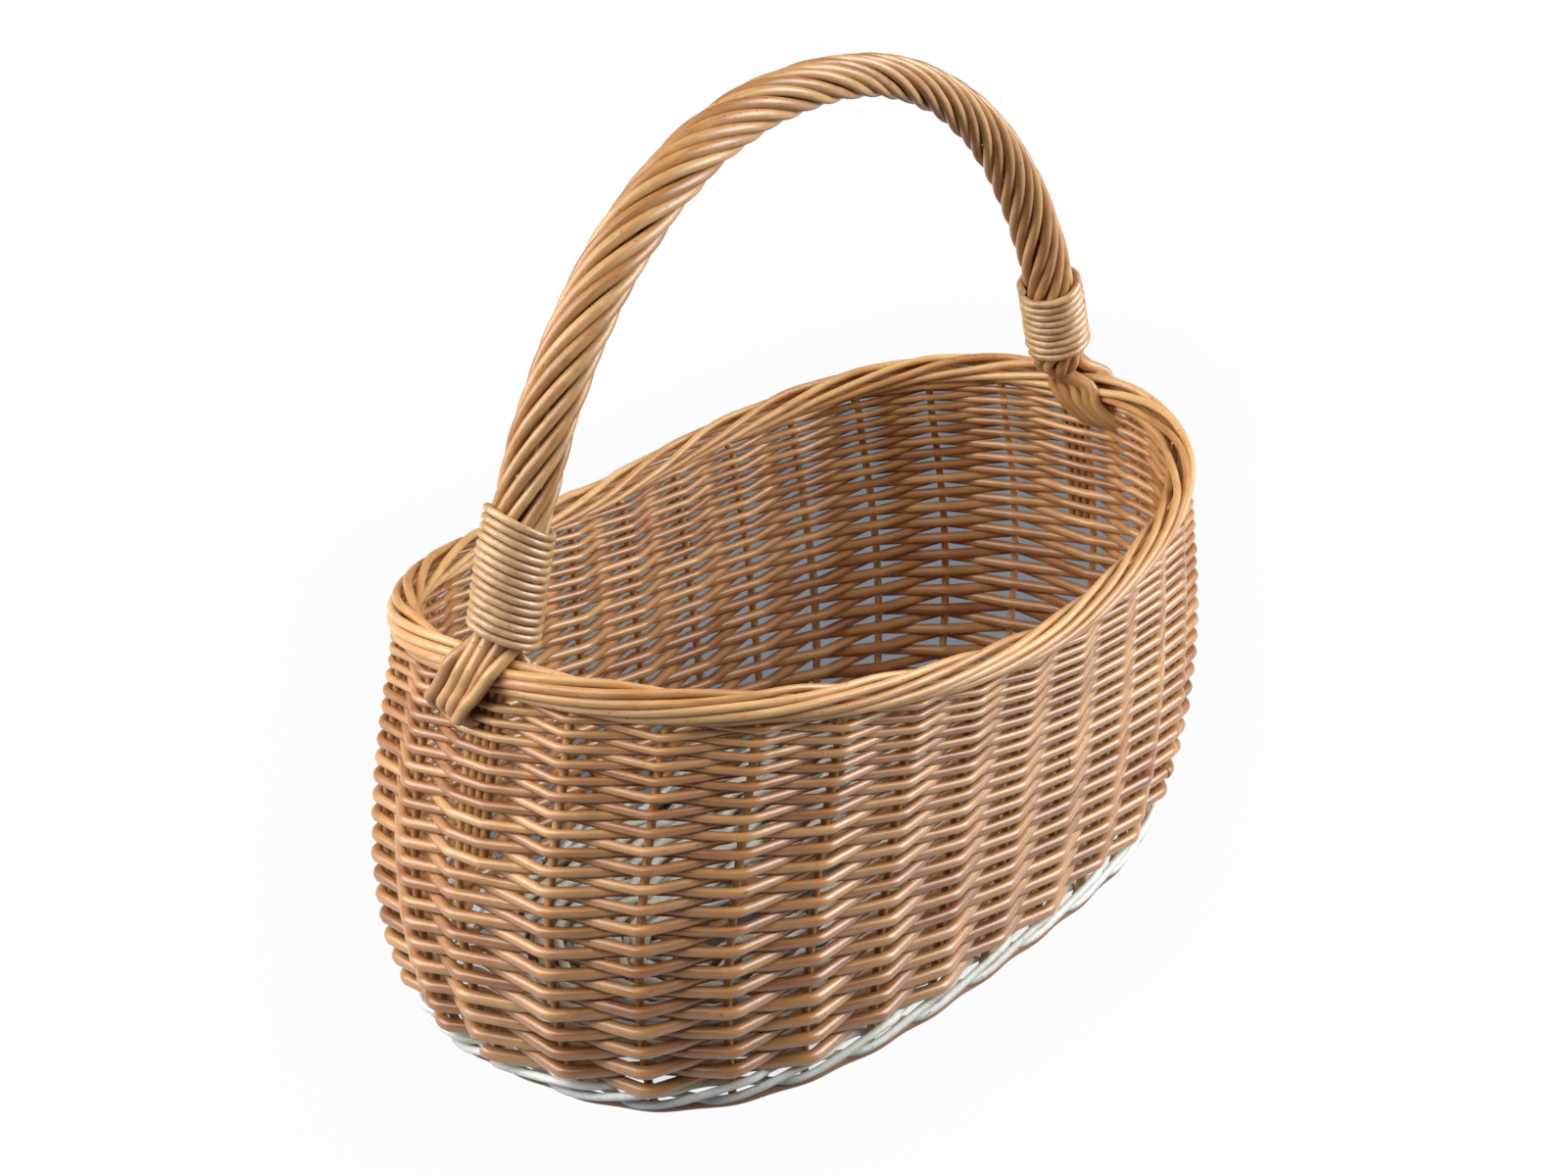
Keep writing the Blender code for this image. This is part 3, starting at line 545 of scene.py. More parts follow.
def wale_lines(strand):
    """One of the rods that pass in front of two stakes and behind one, over each other."""
    stakes, radius = wall().stakes, rods().wale*0.5
    outset = rods().stake*0.5 + GAP + radius
    places, radii, tones = [], [], []
    for index in range(-1, 4*stakes + 2):
        station = index/4.0 - strand
        swing = math.radians(30.0*index)
        height = foot_top() + radius + wale_step()*(1.0 - 1.1*math.sin(swing))
        out = outset*math.tanh(2.4*(0.42 - math.cos(swing))) + 0.0002*wave(station*0.02, strand)
        tuck = max(0.0, 1.0 - min(index + 1, 4*stakes + 1 - index)/3.0)
        height += tuck*radius*(0.9 if index < stakes else -0.9)
        near = max(0.0, 1.0 - abs((station + 7.5) % 15.0 - 7.5))
        places.append(wall_place(station/stakes, height, out, stake_shift(0)*near))
        radii.append(radius*(1.0 + 0.06*wave(index*0.005, strand + 5.0))*(1.0 - 0.35*tuck))
        tones.append(0.82 + 0.25*wave(station*0.03, strand + 20.0))
    return [Rod(places, radii, tones)]


def stake_line(station):
    """A stake's way up the wall, then along the border: up its outer side, over it and down inside."""
    size, radius = wall(), rods().stake*0.5
    ring, turn, shift = border_radius(), station/size.stakes, stake_shift(station)
    full = rim_height(round(turn, 6))
    bottom, top = foot_top() + 0.0003, full - ring - 0.0042
    random.seed(100 + station)
    tone, thick = random.uniform(0.1, 0.75), random.uniform(0.92, 1.06)
    places, radii, tones = [], [], []
    for step in range(13):
        height = bottom + (top - bottom)*step/12.0
        places.append(wall_place(turn, height, 0.0002*wave(height, station), shift + 0.0004*wave(height, station + 50.0, 0.05)))
        radii.append(radius*thick)
        tones.append(tone)
    for step in range(17):
        way = 0.13 + step*0.43
        angle = math.radians(BORDER_START + BORDER_LAY*way + 25.0*min(max(0.0, way - 3.9), 1.4) + 10.0*max(0.0, way - 5.3))
        arch = 0.0011*math.exp(-((way - 4.3)/0.8)**2) - 0.0003*max(0.0, way - 6.0)
        stout = 1.0 + 0.20*abs(oval_point(1000, turn + way/size.stakes)[0]/size.rim_half_length)**3
        swell = arch + 0.0005*wave(way*0.02, station + 9.0) - 0.0002
        angle += 0.10*wave(way*0.016, station + 77.0)
        along = shift*max(0.0, 1.0 - way) + 0.0006*wave(way*0.02, station + 31.0)
        places.append(border_place(turn + way/size.stakes, angle, ring + swell, along))
        radii.append(rods().border*0.5*thick*stout*(1.03 - 0.02*way))
        # The border part is painted paler than the upright part of the same rod: painted light on the border on top,
        # and painted shade on the stake down in the wall.
        tones.append(min(0.95, tone + 0.15))
    return Rod(places, radii, tones)


def siding_station(parity, step):
    """Station, turn, height and side of the wall where one siding rod meets a stake."""
    stakes = wall().stakes
    station = step + parity*(stakes//2)
    turn = station/stakes
    height = siding_low() + (siding_top(turn) - siding_low())*row_share(2.0*step/stakes)
    return station, turn, height, (station + parity) % 2 == 0


def stake_edges(station, turn, height):
    """Where a siding rod meets and leaves what stands at a station, along the wall."""
    depth = rim_height(round(turn, 6)) - height
    if station % (wall().stakes//2) == 0 and depth < 0.084:
        return stake_shift(station), upright_spacing()
    return stake_shift(station), stake_shift(station)


def siding_rods(parity):
    """The rods of one of the two chasing rods, laid in one after another up the wall."""
    stakes, size = wall().stakes, rods()
    total = wall().rows//2*stakes
    random.seed(7 + parity)
    made, first = [], 0
    while first < total - 1:
        last = min(first + random.randrange(23, 41, 2), total - 1)
        if total - last < 12:
            last = total - 1
        made.append(siding_rod(parity, first, last, len(made)))
        first = last
    return made


def siding_rod(parity, first, last, number):
    """One siding rod from its thick end to its thin one, bent at each stake that it passes."""
    size, stakes, rows = rods(), wall().stakes, wall().rows
    seed = 100.0*parity + number
    tone, butt = random.betavariate(1.4, 1.4), random.choice((1.0, -1.0))
    places, radii, tones = [], [], []
    for step in range(first, last + 1):
        station, turn, height, outside = siding_station(parity, step)
        share, row = (step - first)/max(last - first, 1), 2.0*step/stakes/rows
        pitch = (siding_top(turn) - siding_low())/rows*(ROW_RATIO + (1.0 - ROW_RATIO)*row)/((1.0 + ROW_RATIO)/2.0)
        diameter = (size.siding_low + (size.siding_high - size.siding_low)*row)*(1.0 + 0.10*butt*(0.5 - share))
        radius = min(diameter, pitch*1.36)/2.0
        reach = size.stake/2.0 + GAP + radius
        lift = 0.00018*wave(step*0.03, seed) + (0.0 if outside else 0.0012*max(0.0, row - 0.9)/0.1)
        for edge, offsets in zip(stake_edges(station, turn, height), ((-0.0030, -0.0012, 0.0), (0.0012, 0.0030))):
            for offset in offsets:
                out = reach - 0.225*(math.hypot(offset, KINK) - KINK) + 0.00012*wave(step*0.05 + offset, seed + 3.0)
                places.append(wall_place(turn, height + lift, out if outside else -out, edge + offset))
                radii.append(radius)
                tones.append(tone)
    return slack(Rod(places, radii, tones), seed)


def slack(line, seed):
    """Adds places to a rod's free runs, where it wanders a little."""
    places, radii, tones = [], [], []
    for index, place in enumerate(line.places):
        if index and (place - line.places[index - 1]).length > 0.012:
            before = line.places[index - 1]
            for share in (0.33, 0.67):
                nudge = wave_vector(index*0.013 + share, seed)*0.00014
                places.append(before.lerp(place, share) + nudge)
                radii.append(line.radii[index - 1] + (line.radii[index] - line.radii[index - 1])*share)
                tones.append(line.tones[index])
        places.append(place)
        radii.append(line.radii[index])
        tones.append(line.tones[index])
    return Rod(places, radii, tones)


# The base

def stick_rays():
    """Start, direction and stick radius of each stick end, in order round the base."""
    size, thick = wall(), rods()
    end = size.base_half_length - size.base_half_width
    cross = [end - 2.0*end*index/3.0 for index in range(4)]
    fan = end + thick.cross_stick/2.0 + 0.0005 + thick.long_stick
    rays = []
    for side in (1.0, -1.0):
        for index in range(3):
            angle = math.radians(60.0*(index - 1.0))
            start = (side*fan, side*(thick.long_stick + 0.0003)*(index - 1.0))
            rays.append((start, (side*math.cos(angle), side*math.sin(angle)), thick.long_stick/2.0, "long"))
        for x in cross:
            rays.append(((side*x, 0.0), (0.0, side), thick.cross_stick/2.0, "cross"))
    return rays


def edge_way(ray, inset=0.0125):
    """Way along a stick end to the edge of the base, less an inset."""
    size, near, far = wall(), 0.0, 0.5
    for _ in range(40):
        middle = (near + far)/2.0
        x, y = ray[0][0] + ray[1][0]*middle, ray[0][1] + ray[1][1]*middle
        inside = abs(x/size.base_half_length)**BASE_OVAL_POWER + abs(y/size.base_half_width)**BASE_OVAL_POWER < 1.0
        near, far = (middle, far) if inside else (near, middle)
    return near - inset


def stick_place(ray, way, lift=0.0):
    """Place over a stick end's middle, which falls from the crown to its edge."""
    first, last = 0.014 if ray[3] == "cross" else 0.0, edge_way(ray)
    share = (way - first)/(last - first)
    height = 0.0142*(1.0 - share) + 0.0092*share
    return Vector((ray[0][0] + ray[1][0]*way, ray[0][1] + ray[1][1]*way, height + lift))


def stick_end(ray):
    """A stick's end from its last round to its thinned tip against the foot rod."""
    places = [stick_place(ray, edge_way(ray))]
    for inset in (0.0080, 0.0062):
        place = stick_place(ray, edge_way(ray, inset))
        places.append(Vector((place.x, place.y, 0.0030 if inset < 0.007 else 0.0044)))
    return places


def stick_line(ray, other, diameter, number):
    """A stick that runs through the base from one thinned end to the other."""
    inner = 0.014 if ray[3] == "cross" else 0.0
    middle = [stick_place(ray, inner), stick_place(other, inner)]
    places = list(reversed(stick_end(ray))) + middle + stick_end(other)
    tip = 0.0017
    radii = [tip, tip*1.1, diameter*0.45, diameter*0.5, diameter*0.5, diameter*0.45, tip*1.1, tip]
    return Rod(places, radii, 0.3 + 0.1*number)


def base_weaver(parity):
    """One of two rods that chase each other outwards, over one stick end and under the next."""
    rays, radius = stick_rays(), rods().base*0.5
    rounds = 2*int((edge_way(rays[3]) - 0.014)/(rods().base*0.97)/2.0)
    places, tones = [], []
    for step in range(rounds//2*len(rays)):
        place = step + parity*len(rays)//2
        ray = rays[place % len(rays)]
        first, last = (0.014 if ray[3] == "cross" else 0.006), edge_way(ray)
        way = first + (last - first)*2.0*step/len(rays)/rounds
        over = 1.0 if (place + parity) % 2 == 0 else -1.0
        places.append(stick_place(ray, way, over*(ray[2] + 0.0003 + radius)))
        # The base weave is given low tones, darker than the white band of the same willow: painted shade for the
        # basket's shaded floor.
        tones.append(0.25*wave(step*0.02, parity + 40.0) + 0.35)
    return Rod(places, radius, tones)


# The handle

BINDING_START, BINDING_TILT = math.radians(216.0), math.radians(126.0)


class Arch:
    """The handle's middle line, from the left foot over to the right one, by length."""

    def __init__(self):
        size, form = wall(), handle()
        span = size.rim_half_length - form.inset
        end_height = size.side_height + size.end_rise
        angles = np.linspace(math.pi, 0.0, OUTLINE_SAMPLES + 1)
        power = 2.0/2.155
        self.xs = span*np.sign(np.cos(angles))*np.abs(np.cos(angles))**power
        self.zs = end_height - form.spring_drop + (form.rise + form.spring_drop)*np.abs(np.sin(angles))**power
        self.foot = end_height + border_outer() + 0.006
        self.measure()
        shares = np.clip((self.ways - self.first)/self.length, 0.0, 1.0)
        offsets = form.lean*np.cos(math.pi*shares) + form.shoulder*hump(shares, 0.31, 0.22)
        along_x, along_z = np.gradient(self.xs), np.gradient(self.zs)
        lengths = np.hypot(along_x, along_z)
        self.xs, self.zs = self.xs - offsets*along_z/lengths, self.zs + offsets*along_x/lengths
        self.measure()

    def measure(self):
        """Find the length of the way to each place, and where the bindings start."""
        half = OUTLINE_SAMPLES//2
        self.ways = np.concatenate(([0.0], np.cumsum(np.hypot(np.diff(self.xs), np.diff(self.zs)))))
        self.first = float(np.interp(self.foot, self.zs[:half], self.ways[:half]))
        self.length = float(np.interp(self.foot, self.zs[:half:-1], self.ways[:half:-1])) - self.first

    def spot(self, way):
        """Place at a length along the whole arch."""
        return Vector((np.interp(way, self.ways, self.xs), 0.0, np.interp(way, self.ways, self.zs)))

    def around(self, way, angle, radius):
        """Place round the middle line above the left binding's foot: 0 is on the arch's outer side."""
        here = self.first + way
        spots = [self.spot(here + offset) for offset in (-0.003, 0.0, 0.003)]
        forward = (spots[2] - spots[0]).normalized()
        outward = Vector((-forward.z, 0.0, forward.x))
        return spots[1] + (outward*math.cos(angle) + forward.cross(outward)*math.sin(angle))*radius


def hump(share, middle, width):
    """A smooth hump of height one at a share of the way."""
    return np.exp(-((share - middle)/width)**2)


def along_arch(share, foot, top):
    """A size that goes from its value at the feet to its value where the handle is thinnest."""
    return foot + (top - foot)*float(hump(share, 0.60, 0.19))


def strand_radius(strand, share):
    """Radius of one strand, each a little different and thinner towards its tip."""
    size = rods()
    tip = 0.06*(1.0 if strand % 2 else -1.0)*(share - 0.5)
    own = 1.0 + 0.05*math.sin(strand*2.4) + tip - 0.13*float(hump(share, 0.115, 0.05))
    return 0.5*along_arch(share, size.strand_foot, size.strand_top)*own


def strand_spot(arch, strand, share):
    """Place of a strand round the handle at a share of its length."""
    form = handle()
    angle = 2.0*math.pi*(strand/form.strands + share*form.turns)
    angle += 0.09*wave(share*arch.length, strand + 60.0, 0.08)
    outer = along_arch(share, form.foot_radius, form.top_radius)
    radius = outer - strand_radius(strand, share) + 0.0004*wave(share*arch.length, strand + 70.0, 0.07)
    return angle, radius


def outer_order(strand, share):
    """Order of an outer strand from side to side at a foot, or None for an inner one."""
    form = handle()
    angle = 2.0*math.pi*(strand/form.strands + share*form.turns)
    turned = (angle + math.pi) % (2.0*math.pi) - math.pi
    order = round(turned/(2.0*math.pi/form.strands))
    return order if abs(order) <= 2 else None


def inner_order(strand, share):
    """Order of an inner strand from side to side at a foot."""
    form = handle()
    angle = 2.0*math.pi*(strand/form.strands + share*form.turns) + math.pi
    turned = (angle + math.pi) % (2.0*math.pi) - math.pi
    return round(turned/(2.0*math.pi/form.strands) - 0.5)


def outer_fan(turn, order, radius):
    """An outer strand's end: aslant over the outside of the border, then hooked under it."""
    outset = border_outer() + radius
    along = -order*2.02*radius
    last = turn == 0.5 and order == -2
    slant, over = (0.0185, 0.9*radius) if last else (0.0135, 0.0)
    rim = rim_height(round(turn, 6))
    places = [border_place(turn, math.radians(angle), outset + over*share, along - slant*share)
              for angle, share in ((32.0, 0.22), (2.0, 0.38))]
    for drop, share in ((0.0060, 0.60), (0.0105, 0.80)):
        places.append(wall_place(turn, rim - drop, outset + over*share, along - slant*share))
    if last:
        places.append(wall_place(turn, rim - 0.0175, outset + over - 0.0010, along - slant))
    else:
        hook = 0.0012*order
        places.append(wall_place(turn, rim - 0.0145 + hook, outset - 0.0010, along - slant*0.93))
        places.append(wall_place(turn, rim - 0.0175 + hook, outset - 0.0040, along - slant*0.88))
        places.append(wall_place(turn, rim - 0.0188 + hook, outset - 0.0075, along - slant*0.72))
    return places


def inner_fan(turn, order, radius):
    """An inner strand's end: down over the inside of the border and into the wall to one side."""
    inset = -(border_outer() + radius)
    along = (order + 0.5)*2.0*radius
    rim = rim_height(round(turn, 6))
    places = [border_place(turn, math.radians(158.0), -inset, along - 0.0042)]
    places.append(wall_place(turn, rim - 0.0050, inset, along - 0.0085))
    places.append(wall_place(turn, rim - 0.0120, inset + 0.0018, along - 0.0140))
    places.append(wall_place(turn, rim - 0.0170, inset*0.55, along - 0.0195))
    places.append(wall_place(turn, rim - 0.0190, inset*0.1, along - 0.0240))
    return places


def strand_line(arch, strand):
    """One rod of the rope, with both its ends."""
    steps = 84
    places, radii, tones = [], [], []
    base = 0.5 + 0.28*math.sin(strand*3.7 + 0.5)
    foot_radius = strand_radius(strand, 0.0)
    order = outer_order(strand, 0.0)
    end = outer_fan(0.5, -order, foot_radius) if order is not None else inner_fan(0.5, inner_order(strand, 0.0), foot_radius)
    places += reversed(end)
    radii += [foot_radius]*len(end)
    for step in range(steps + 1):
        share = step/steps
        angle, radius = strand_spot(arch, strand, share)
        places.append(arch.around(share*arch.length, angle, radius))
        radii.append(strand_radius(strand, share))
    foot_radius = strand_radius(strand, 1.0)
    order = outer_order(strand, 1.0)
    end = outer_fan(0.0, order, foot_radius) if order is not None else inner_fan(0.0, -inner_order(strand, 1.0) - 1, foot_radius)
    places += end
    radii += [foot_radius]*len(end)
    way = 0.0
    for index, place in enumerate(places):
        way += (place - places[index - 1]).length if index else 0.0
        tones.append(base + 0.12*wave(way, strand + 80.0, 0.09))
    return Rod(places, radii, tones)


def bow_line(arch, index):
    """One of the rods that carry the handle, from wall to wall through the middle of the rope."""
    size, steps = rods(), 40
    angle = 2.0*math.pi*(index - 1)/3.0 + math.pi
    slot = round(math.sin(angle)*1.1)
    radius = size.bow*0.5
    places = list(reversed(bow_tail(0.5, slot)))
    for step in range(steps + 1):
        share = step/steps
        places.append(arch.around(share*arch.length, angle, radius*1.15))
    places += bow_tail(0.0, -slot)
    return Rod(places, radius, 0.35 + 0.1*index)


def bow_tail(turn, slot):
    """A bow rod's end: through the border, then into the wall beside its stake."""
    along = slot*upright_spacing()
    rim = rim_height(round(turn, 6))
    places = [border_place(turn, math.radians(90.0), border_radius() + 0.003, along), border_place(turn, 0.0, 0.0, along)]
    for depth in (0.010, 0.026, 0.050, 0.080):
        places.append(wall_place(turn, rim - depth, 0.0, along))
    return places


def binding_line(arch, start, pitch, turns, tilt, seed):
    """Thin willow wound round the strands, close to each one that it passes, and tilted to one side."""
    form, radius = handle(), min(rods().binding, pitch*0.97)*0.5
    per_turn = 40
    places, tones = [], []
    for step in range(turns*per_turn + 1):
        angle = 2.0*math.pi*step/per_turn + BINDING_START
        way = start + pitch*step/per_turn - tilt*math.cos(angle - BINDING_TILT)
        share = min(max(way/arch.length, 0.0), 1.0)
        reach = 0.0
        for strand in range(form.strands):
            around, out = strand_spot(arch, strand, share)
            reach = max(reach, out*math.cos(around - angle) + strand_radius(strand, share))
        wander = 0.00012*wave(step*0.002, seed)
        places.append(arch.around(way + wander, angle, reach + radius))
        tones.append(0.5 + 0.3*wave(step*0.004, seed + 4.0))
    return Rod(places, radius, tones)


# Operators, one for each piece or group of like pieces

class BASKET_OT_foot_rod(bpy.types.Operator):
    """Lay the brown rod round the bottom edge"""
    bl_idname = "basket.foot_rod"
    bl_label = "Foot Rod"

    def execute(self, context):
        make_piece("foot", foot_lines(), "base_willow", ["foot_rod"], sides=12, steps=2)
        return {"FINISHED"}


class BASKET_OT_base_sticks(bpy.types.Operator):
    """Lay the split cross sticks and the long sticks threaded through them"""
    bl_idname = "basket.base_sticks"
    bl_label = "Base Sticks"

    def execute(self, context):
        rays = stick_rays()
        cross = [ray for ray in rays if ray[3] == "cross"]
        for index, ray in enumerate(cross[:4]):
            other = min(cross[4:], key=lambda back: abs(back[0][0] - ray[0][0]))
            line = stick_line(ray, other, rods().cross_stick, index)
            make_piece("cross_stick_%d" % (index + 1), [line], "base_willow", ["base_cross_stick_%d" % (index + 1)], steps=5)
        long = [ray for ray in rays if ray[3] == "long"]
        for index, (ray, other) in enumerate(zip(long[:3], reversed(long[3:]))):
            line = stick_line(ray, other, rods().long_stick, index)
            make_piece("long_stick_%d" % (index + 1), [line], "base_willow", ["base_long_stick_%d" % (index + 1)], steps=5)
        return {"FINISHED"}


class BASKET_OT_base_weave(bpy.types.Operator):
    """Weave the two white rods through the base sticks"""
    bl_idname = "basket.base_weave"
    bl_label = "Base Weave"

    def execute(self, context):
        for parity, name in enumerate(("even", "odd")):
            make_piece("base_weave_" + name, [base_weaver(parity)], "white_willow", ["base_weaver_" + name], steps=6)
        return {"FINISHED"}


class BASKET_OT_wale(bpy.types.Operator):
    """Twine the white band round the foot of the stakes"""
    bl_idname = "basket.wale"
    bl_label = "White Wale"

    def execute(self, context):
        for strand in range(3):
            make_piece("wale_%d" % (strand + 1), wale_lines(strand), "white_willow", ["wale_rod_%d" % (strand + 1)], steps=3)
        return {"FINISHED"}


class BASKET_OT_stakes(bpy.types.Operator):
    """Stand the stakes and turn each one over into the border"""
    bl_idname = "basket.stakes"
    bl_label = "Stakes and Border"

    def execute(self, context):
        for station in range(wall().stakes):
            make_piece("stake_rod_%02d" % (station + 1), [stake_line(station)], "stake_willow", ["stake_%02d" % (station + 1)],
                       sides=12, steps=4)
        return {"FINISHED"}


class BASKET_OT_siding(bpy.types.Operator):
    """Weave the siding over one stake and under the next, up to the border"""
    bl_idname = "basket.siding"
    bl_label = "Siding"

    def execute(self, context):
        for parity, name in enumerate(("even", "odd")):
            make_piece("siding_" + name, siding_rods(parity), "siding_willow", ["siding_rod_" + name], sides=10, steps=1)
        return {"FINISHED"}


class BASKET_OT_bow(bpy.types.Operator):
    """Bend the three rods inside the handle"""
    bl_idname = "basket.bow"
    bl_label = "Handle Bow"

    def execute(self, context):
        arch = Arch()
        for index in range(3):
            make_piece("bow_%d" % (index + 1), [bow_line(arch, index)], "handle_willow", ["handle_bow_%d" % (index + 1)], steps=2)
        return {"FINISHED"}


class BASKET_OT_strands(bpy.types.Operator):
    """Lay the strands of the handle round its bow like a rope"""
    bl_idname = "basket.strands"
    bl_label = "Handle Strands"

    def execute(self, context):
        arch = Arch()
        for strand in range(handle().strands):
            make_piece("strand_%02d" % (strand + 1), [strand_line(arch, strand)], "handle_willow",
                       ["handle_strand_%02d" % (strand + 1)], sides=14, steps=3)
        return {"FINISHED"}


class BASKET_OT_bindings(bpy.types.Operator):
    """Wind thin willow round both feet of the handle"""
    bl_idname = "basket.bindings"
    bl_label = "Bindings"

    def execute(self, context):
        arch, form = Arch(), handle()
        left = binding_line(arch, 0.0012, form.left_pitch, form.left_turns, 0.0042, 1.0)
        make_piece("left_winding", [left], "binding_willow", ["left_binding"], steps=1)
        start = arch.length - form.right_pitch*form.right_turns - 0.0098
        right = binding_line(arch, start, form.right_pitch, form.right_turns, 0.0, 2.0)
        make_piece("right_winding", [right], "binding_willow", ["right_binding"], steps=1)
        return {"FINISHED"}


class BASKET_OT_stage(bpy.types.Operator):
    """Set the pale floor with its painted shadow, the soft lights and the camera"""
    bl_idname = "basket.stage"
    bl_label = "Stage"

    def execute(self, context):
        make_camera()
        make_floor()
        make_world()
        make_lights()
        context.scene.view_settings.view_transform = "Standard"
        return {"FINISHED"}


# The stage

CAMERA_TARGET = Vector((0.026752, 0.036542, 0.13937))
CAMERA_VIEW, CAMERA_DISTANCE = (-53.5695, 23.4035, 0.1068), 1.51437


def view_axes(azimuth, elevation, roll=0.0):
    """Right, up and back directions of a view."""
    azimuth, elevation, roll = (math.radians(angle) for angle in (azimuth, elevation, roll))
    back = Vector((math.sin(azimuth)*math.cos(elevation), -math.cos(azimuth)*math.cos(elevation), math.sin(elevation)))
    right = (-back).cross(Vector((0.0, 0.0, 1.0))).normalized()
    up = right.cross(-back)
    return right*math.cos(roll) + up*math.sin(roll), up*math.cos(roll) - right*math.sin(roll), back


def facing(place, right, up, back):
    """Matrix of something at a place that looks along minus back."""
    turned = Matrix((right, up, back)).transposed().to_4x4()
    turned.translation = place
    return turned


def make_camera():
    """Camera at the photograph's viewing angle."""
    lens = bpy.data.cameras.new("basket_camera")
    lens.sensor_width, lens.sensor_fit, lens.lens = 36.0, "HORIZONTAL", 73.232
    camera = bpy.data.objects.new("basket_camera", lens)
    bpy.context.scene.collection.objects.link(camera)
    right, up, back = view_axes(*CAMERA_VIEW)
    camera.matrix_world = facing(CAMERA_TARGET + back*CAMERA_DISTANCE, right, up, back)
    bpy.context.scene.camera = camera


def stage_material(name, share):
    """White surface that shows its full white to the camera, apart from a painted shadow near the basket: a dark grey
    patch, outlined where the basket hides the floor from the camera, that shows its own shading.
    """
    made = bpy.data.materials.new(name)
    made.use_nodes = True
    tree = made.node_tree
    shader = tree.nodes["Principled BSDF"]
    # Dark grey floor colour, seen only inside the painted shadow round the basket.
    shader.inputs["Base Color"].default_value = (0.150, 0.163, 0.185, 1.0)
    shader.inputs["Roughness"].default_value = 0.9
    shader.inputs["Specular IOR Level"].default_value = 0.1
    glow, both = tree.nodes.new("ShaderNodeEmission"), tree.nodes.new("ShaderNodeMixShader")
    glow.inputs["Color"].default_value = (1.0, 1.0, 1.0, 1.0)
    path, place, split, curve = (tree.nodes.new("ShaderNode" + kind) for kind in ("LightPath", "TexCoord", "SeparateXYZ", "FloatCurve"))
    seen = blend(tree, "MAXIMUM", path.outputs["Is Camera Ray"], path.outputs["Is Glossy Ray"])
    tree.links.new(place.outputs["Object"], split.inputs["Vector"])
    middle, reaches = shade_outline()
    x, y = (blend(tree, "SUBTRACT", split.outputs[axis], value) for axis, value in zip("XY", middle))
    around = blend(tree, "MULTIPLY_ADD", blend(tree, "ARCTAN2", y, x), 0.5/math.pi, 0.5)
    tree.links.new(around, curve.inputs["Value"])
    points = curve.mapping.curves[0].points
    points[0].location, points[1].location = (0.0, reaches[0]), (1.0, reaches[0])
    for index, reach in enumerate(reaches[1:], 1):
        points.new(index/len(reaches), reach)
    curve.mapping.update()
    distance = blend(tree, "SQRT", blend(tree, "MULTIPLY_ADD", x, x, blend(tree, "MULTIPLY", y, y)))
    share_out = blend(tree, "DIVIDE", distance, curve.outputs["Value"])
    # Painted shadow: inside the outline the floor shows its dark grey colour and its own shading instead of white.
    near = edge(tree, share_out, (0.82, 1.0), (0.0, 1.0))
    far = edge(tree, share_out, (1.0, 1.7), (1.0 - share, 1.0))
    tree.links.new(blend(tree, "MULTIPLY", seen, blend(tree, "MULTIPLY", near, far)), both.inputs["Fac"])
    tree.links.new(shader.outputs["BSDF"], both.inputs[1])
    tree.links.new(glow.outputs["Emission"], both.inputs[2])
    tree.links.new(both.outputs["Shader"], tree.nodes["Material Output"].inputs["Surface"])
    return made


def shade_outline():
    """Middle of the floor that the basket hides from the camera, and how far that floor reaches, by direction: the
    outline of the floor's painted shadow.
    """
    eye, places = CAMERA_TARGET + view_axes(*CAMERA_VIEW)[2]*CAMERA_DISTANCE, []
    for index in range(120):
        for thousandth in (0, 250, 500, 750, 1000):
            spot, outward, _ = wall_frame(index/120.0, thousandth)
            spot = spot + outward*0.004
            spot.z += border_outer()*0.9 if thousandth == 1000 else 0.0
            floor = eye + (spot - eye)*(eye.z/(eye.z - spot.z))
            places.append((floor.x, floor.y))
    places = np.array(places)
    middle = (places.min(0) + places.max(0))/2.0
    angles = np.linspace(-math.pi, math.pi, 180, endpoint=False)
    widths = ((places - middle)@np.stack([np.cos(angles), np.sin(angles)])).max(0)
    reaches = []
    for index in range(60):
        turned = np.cos(angles - (2.0*math.pi*index/60.0 - math.pi))
        reaches.append(float((widths[turned > 0.1]/turned[turned > 0.1]).min()))
    return [float(value) for value in middle], reaches


def edge(tree, value, limits, shares):
    """Soft edge: one share below the first limit and the other above the second."""
    node = tree.nodes.new("ShaderNodeMapRange")
    node.interpolation_type = "SMOOTHSTEP"
    tree.links.new(value, node.inputs["Value"])
    for socket, number in zip(("From Min", "From Max", "To Min", "To Max"), (*limits, *shares)):
        node.inputs[socket].default_value = number
    return node.outputs["Result"]


def make_floor():
    """Round pale floor, with a painted shadow round the basket."""
    mesh = bpy.data.meshes.new("pale_floor")
    ring = [(3.0*math.cos(math.radians(angle)), 3.0*math.sin(math.radians(angle)), 0.0) for angle in range(0, 360, 5)]
    mesh.from_pydata(ring, [], [tuple(range(len(ring)))])
    mesh.materials.append(stage_material("pale_floor", 0.03))
    floor = bpy.data.objects.new("pale_floor", mesh)
    bpy.context.scene.collection.objects.link(floor)


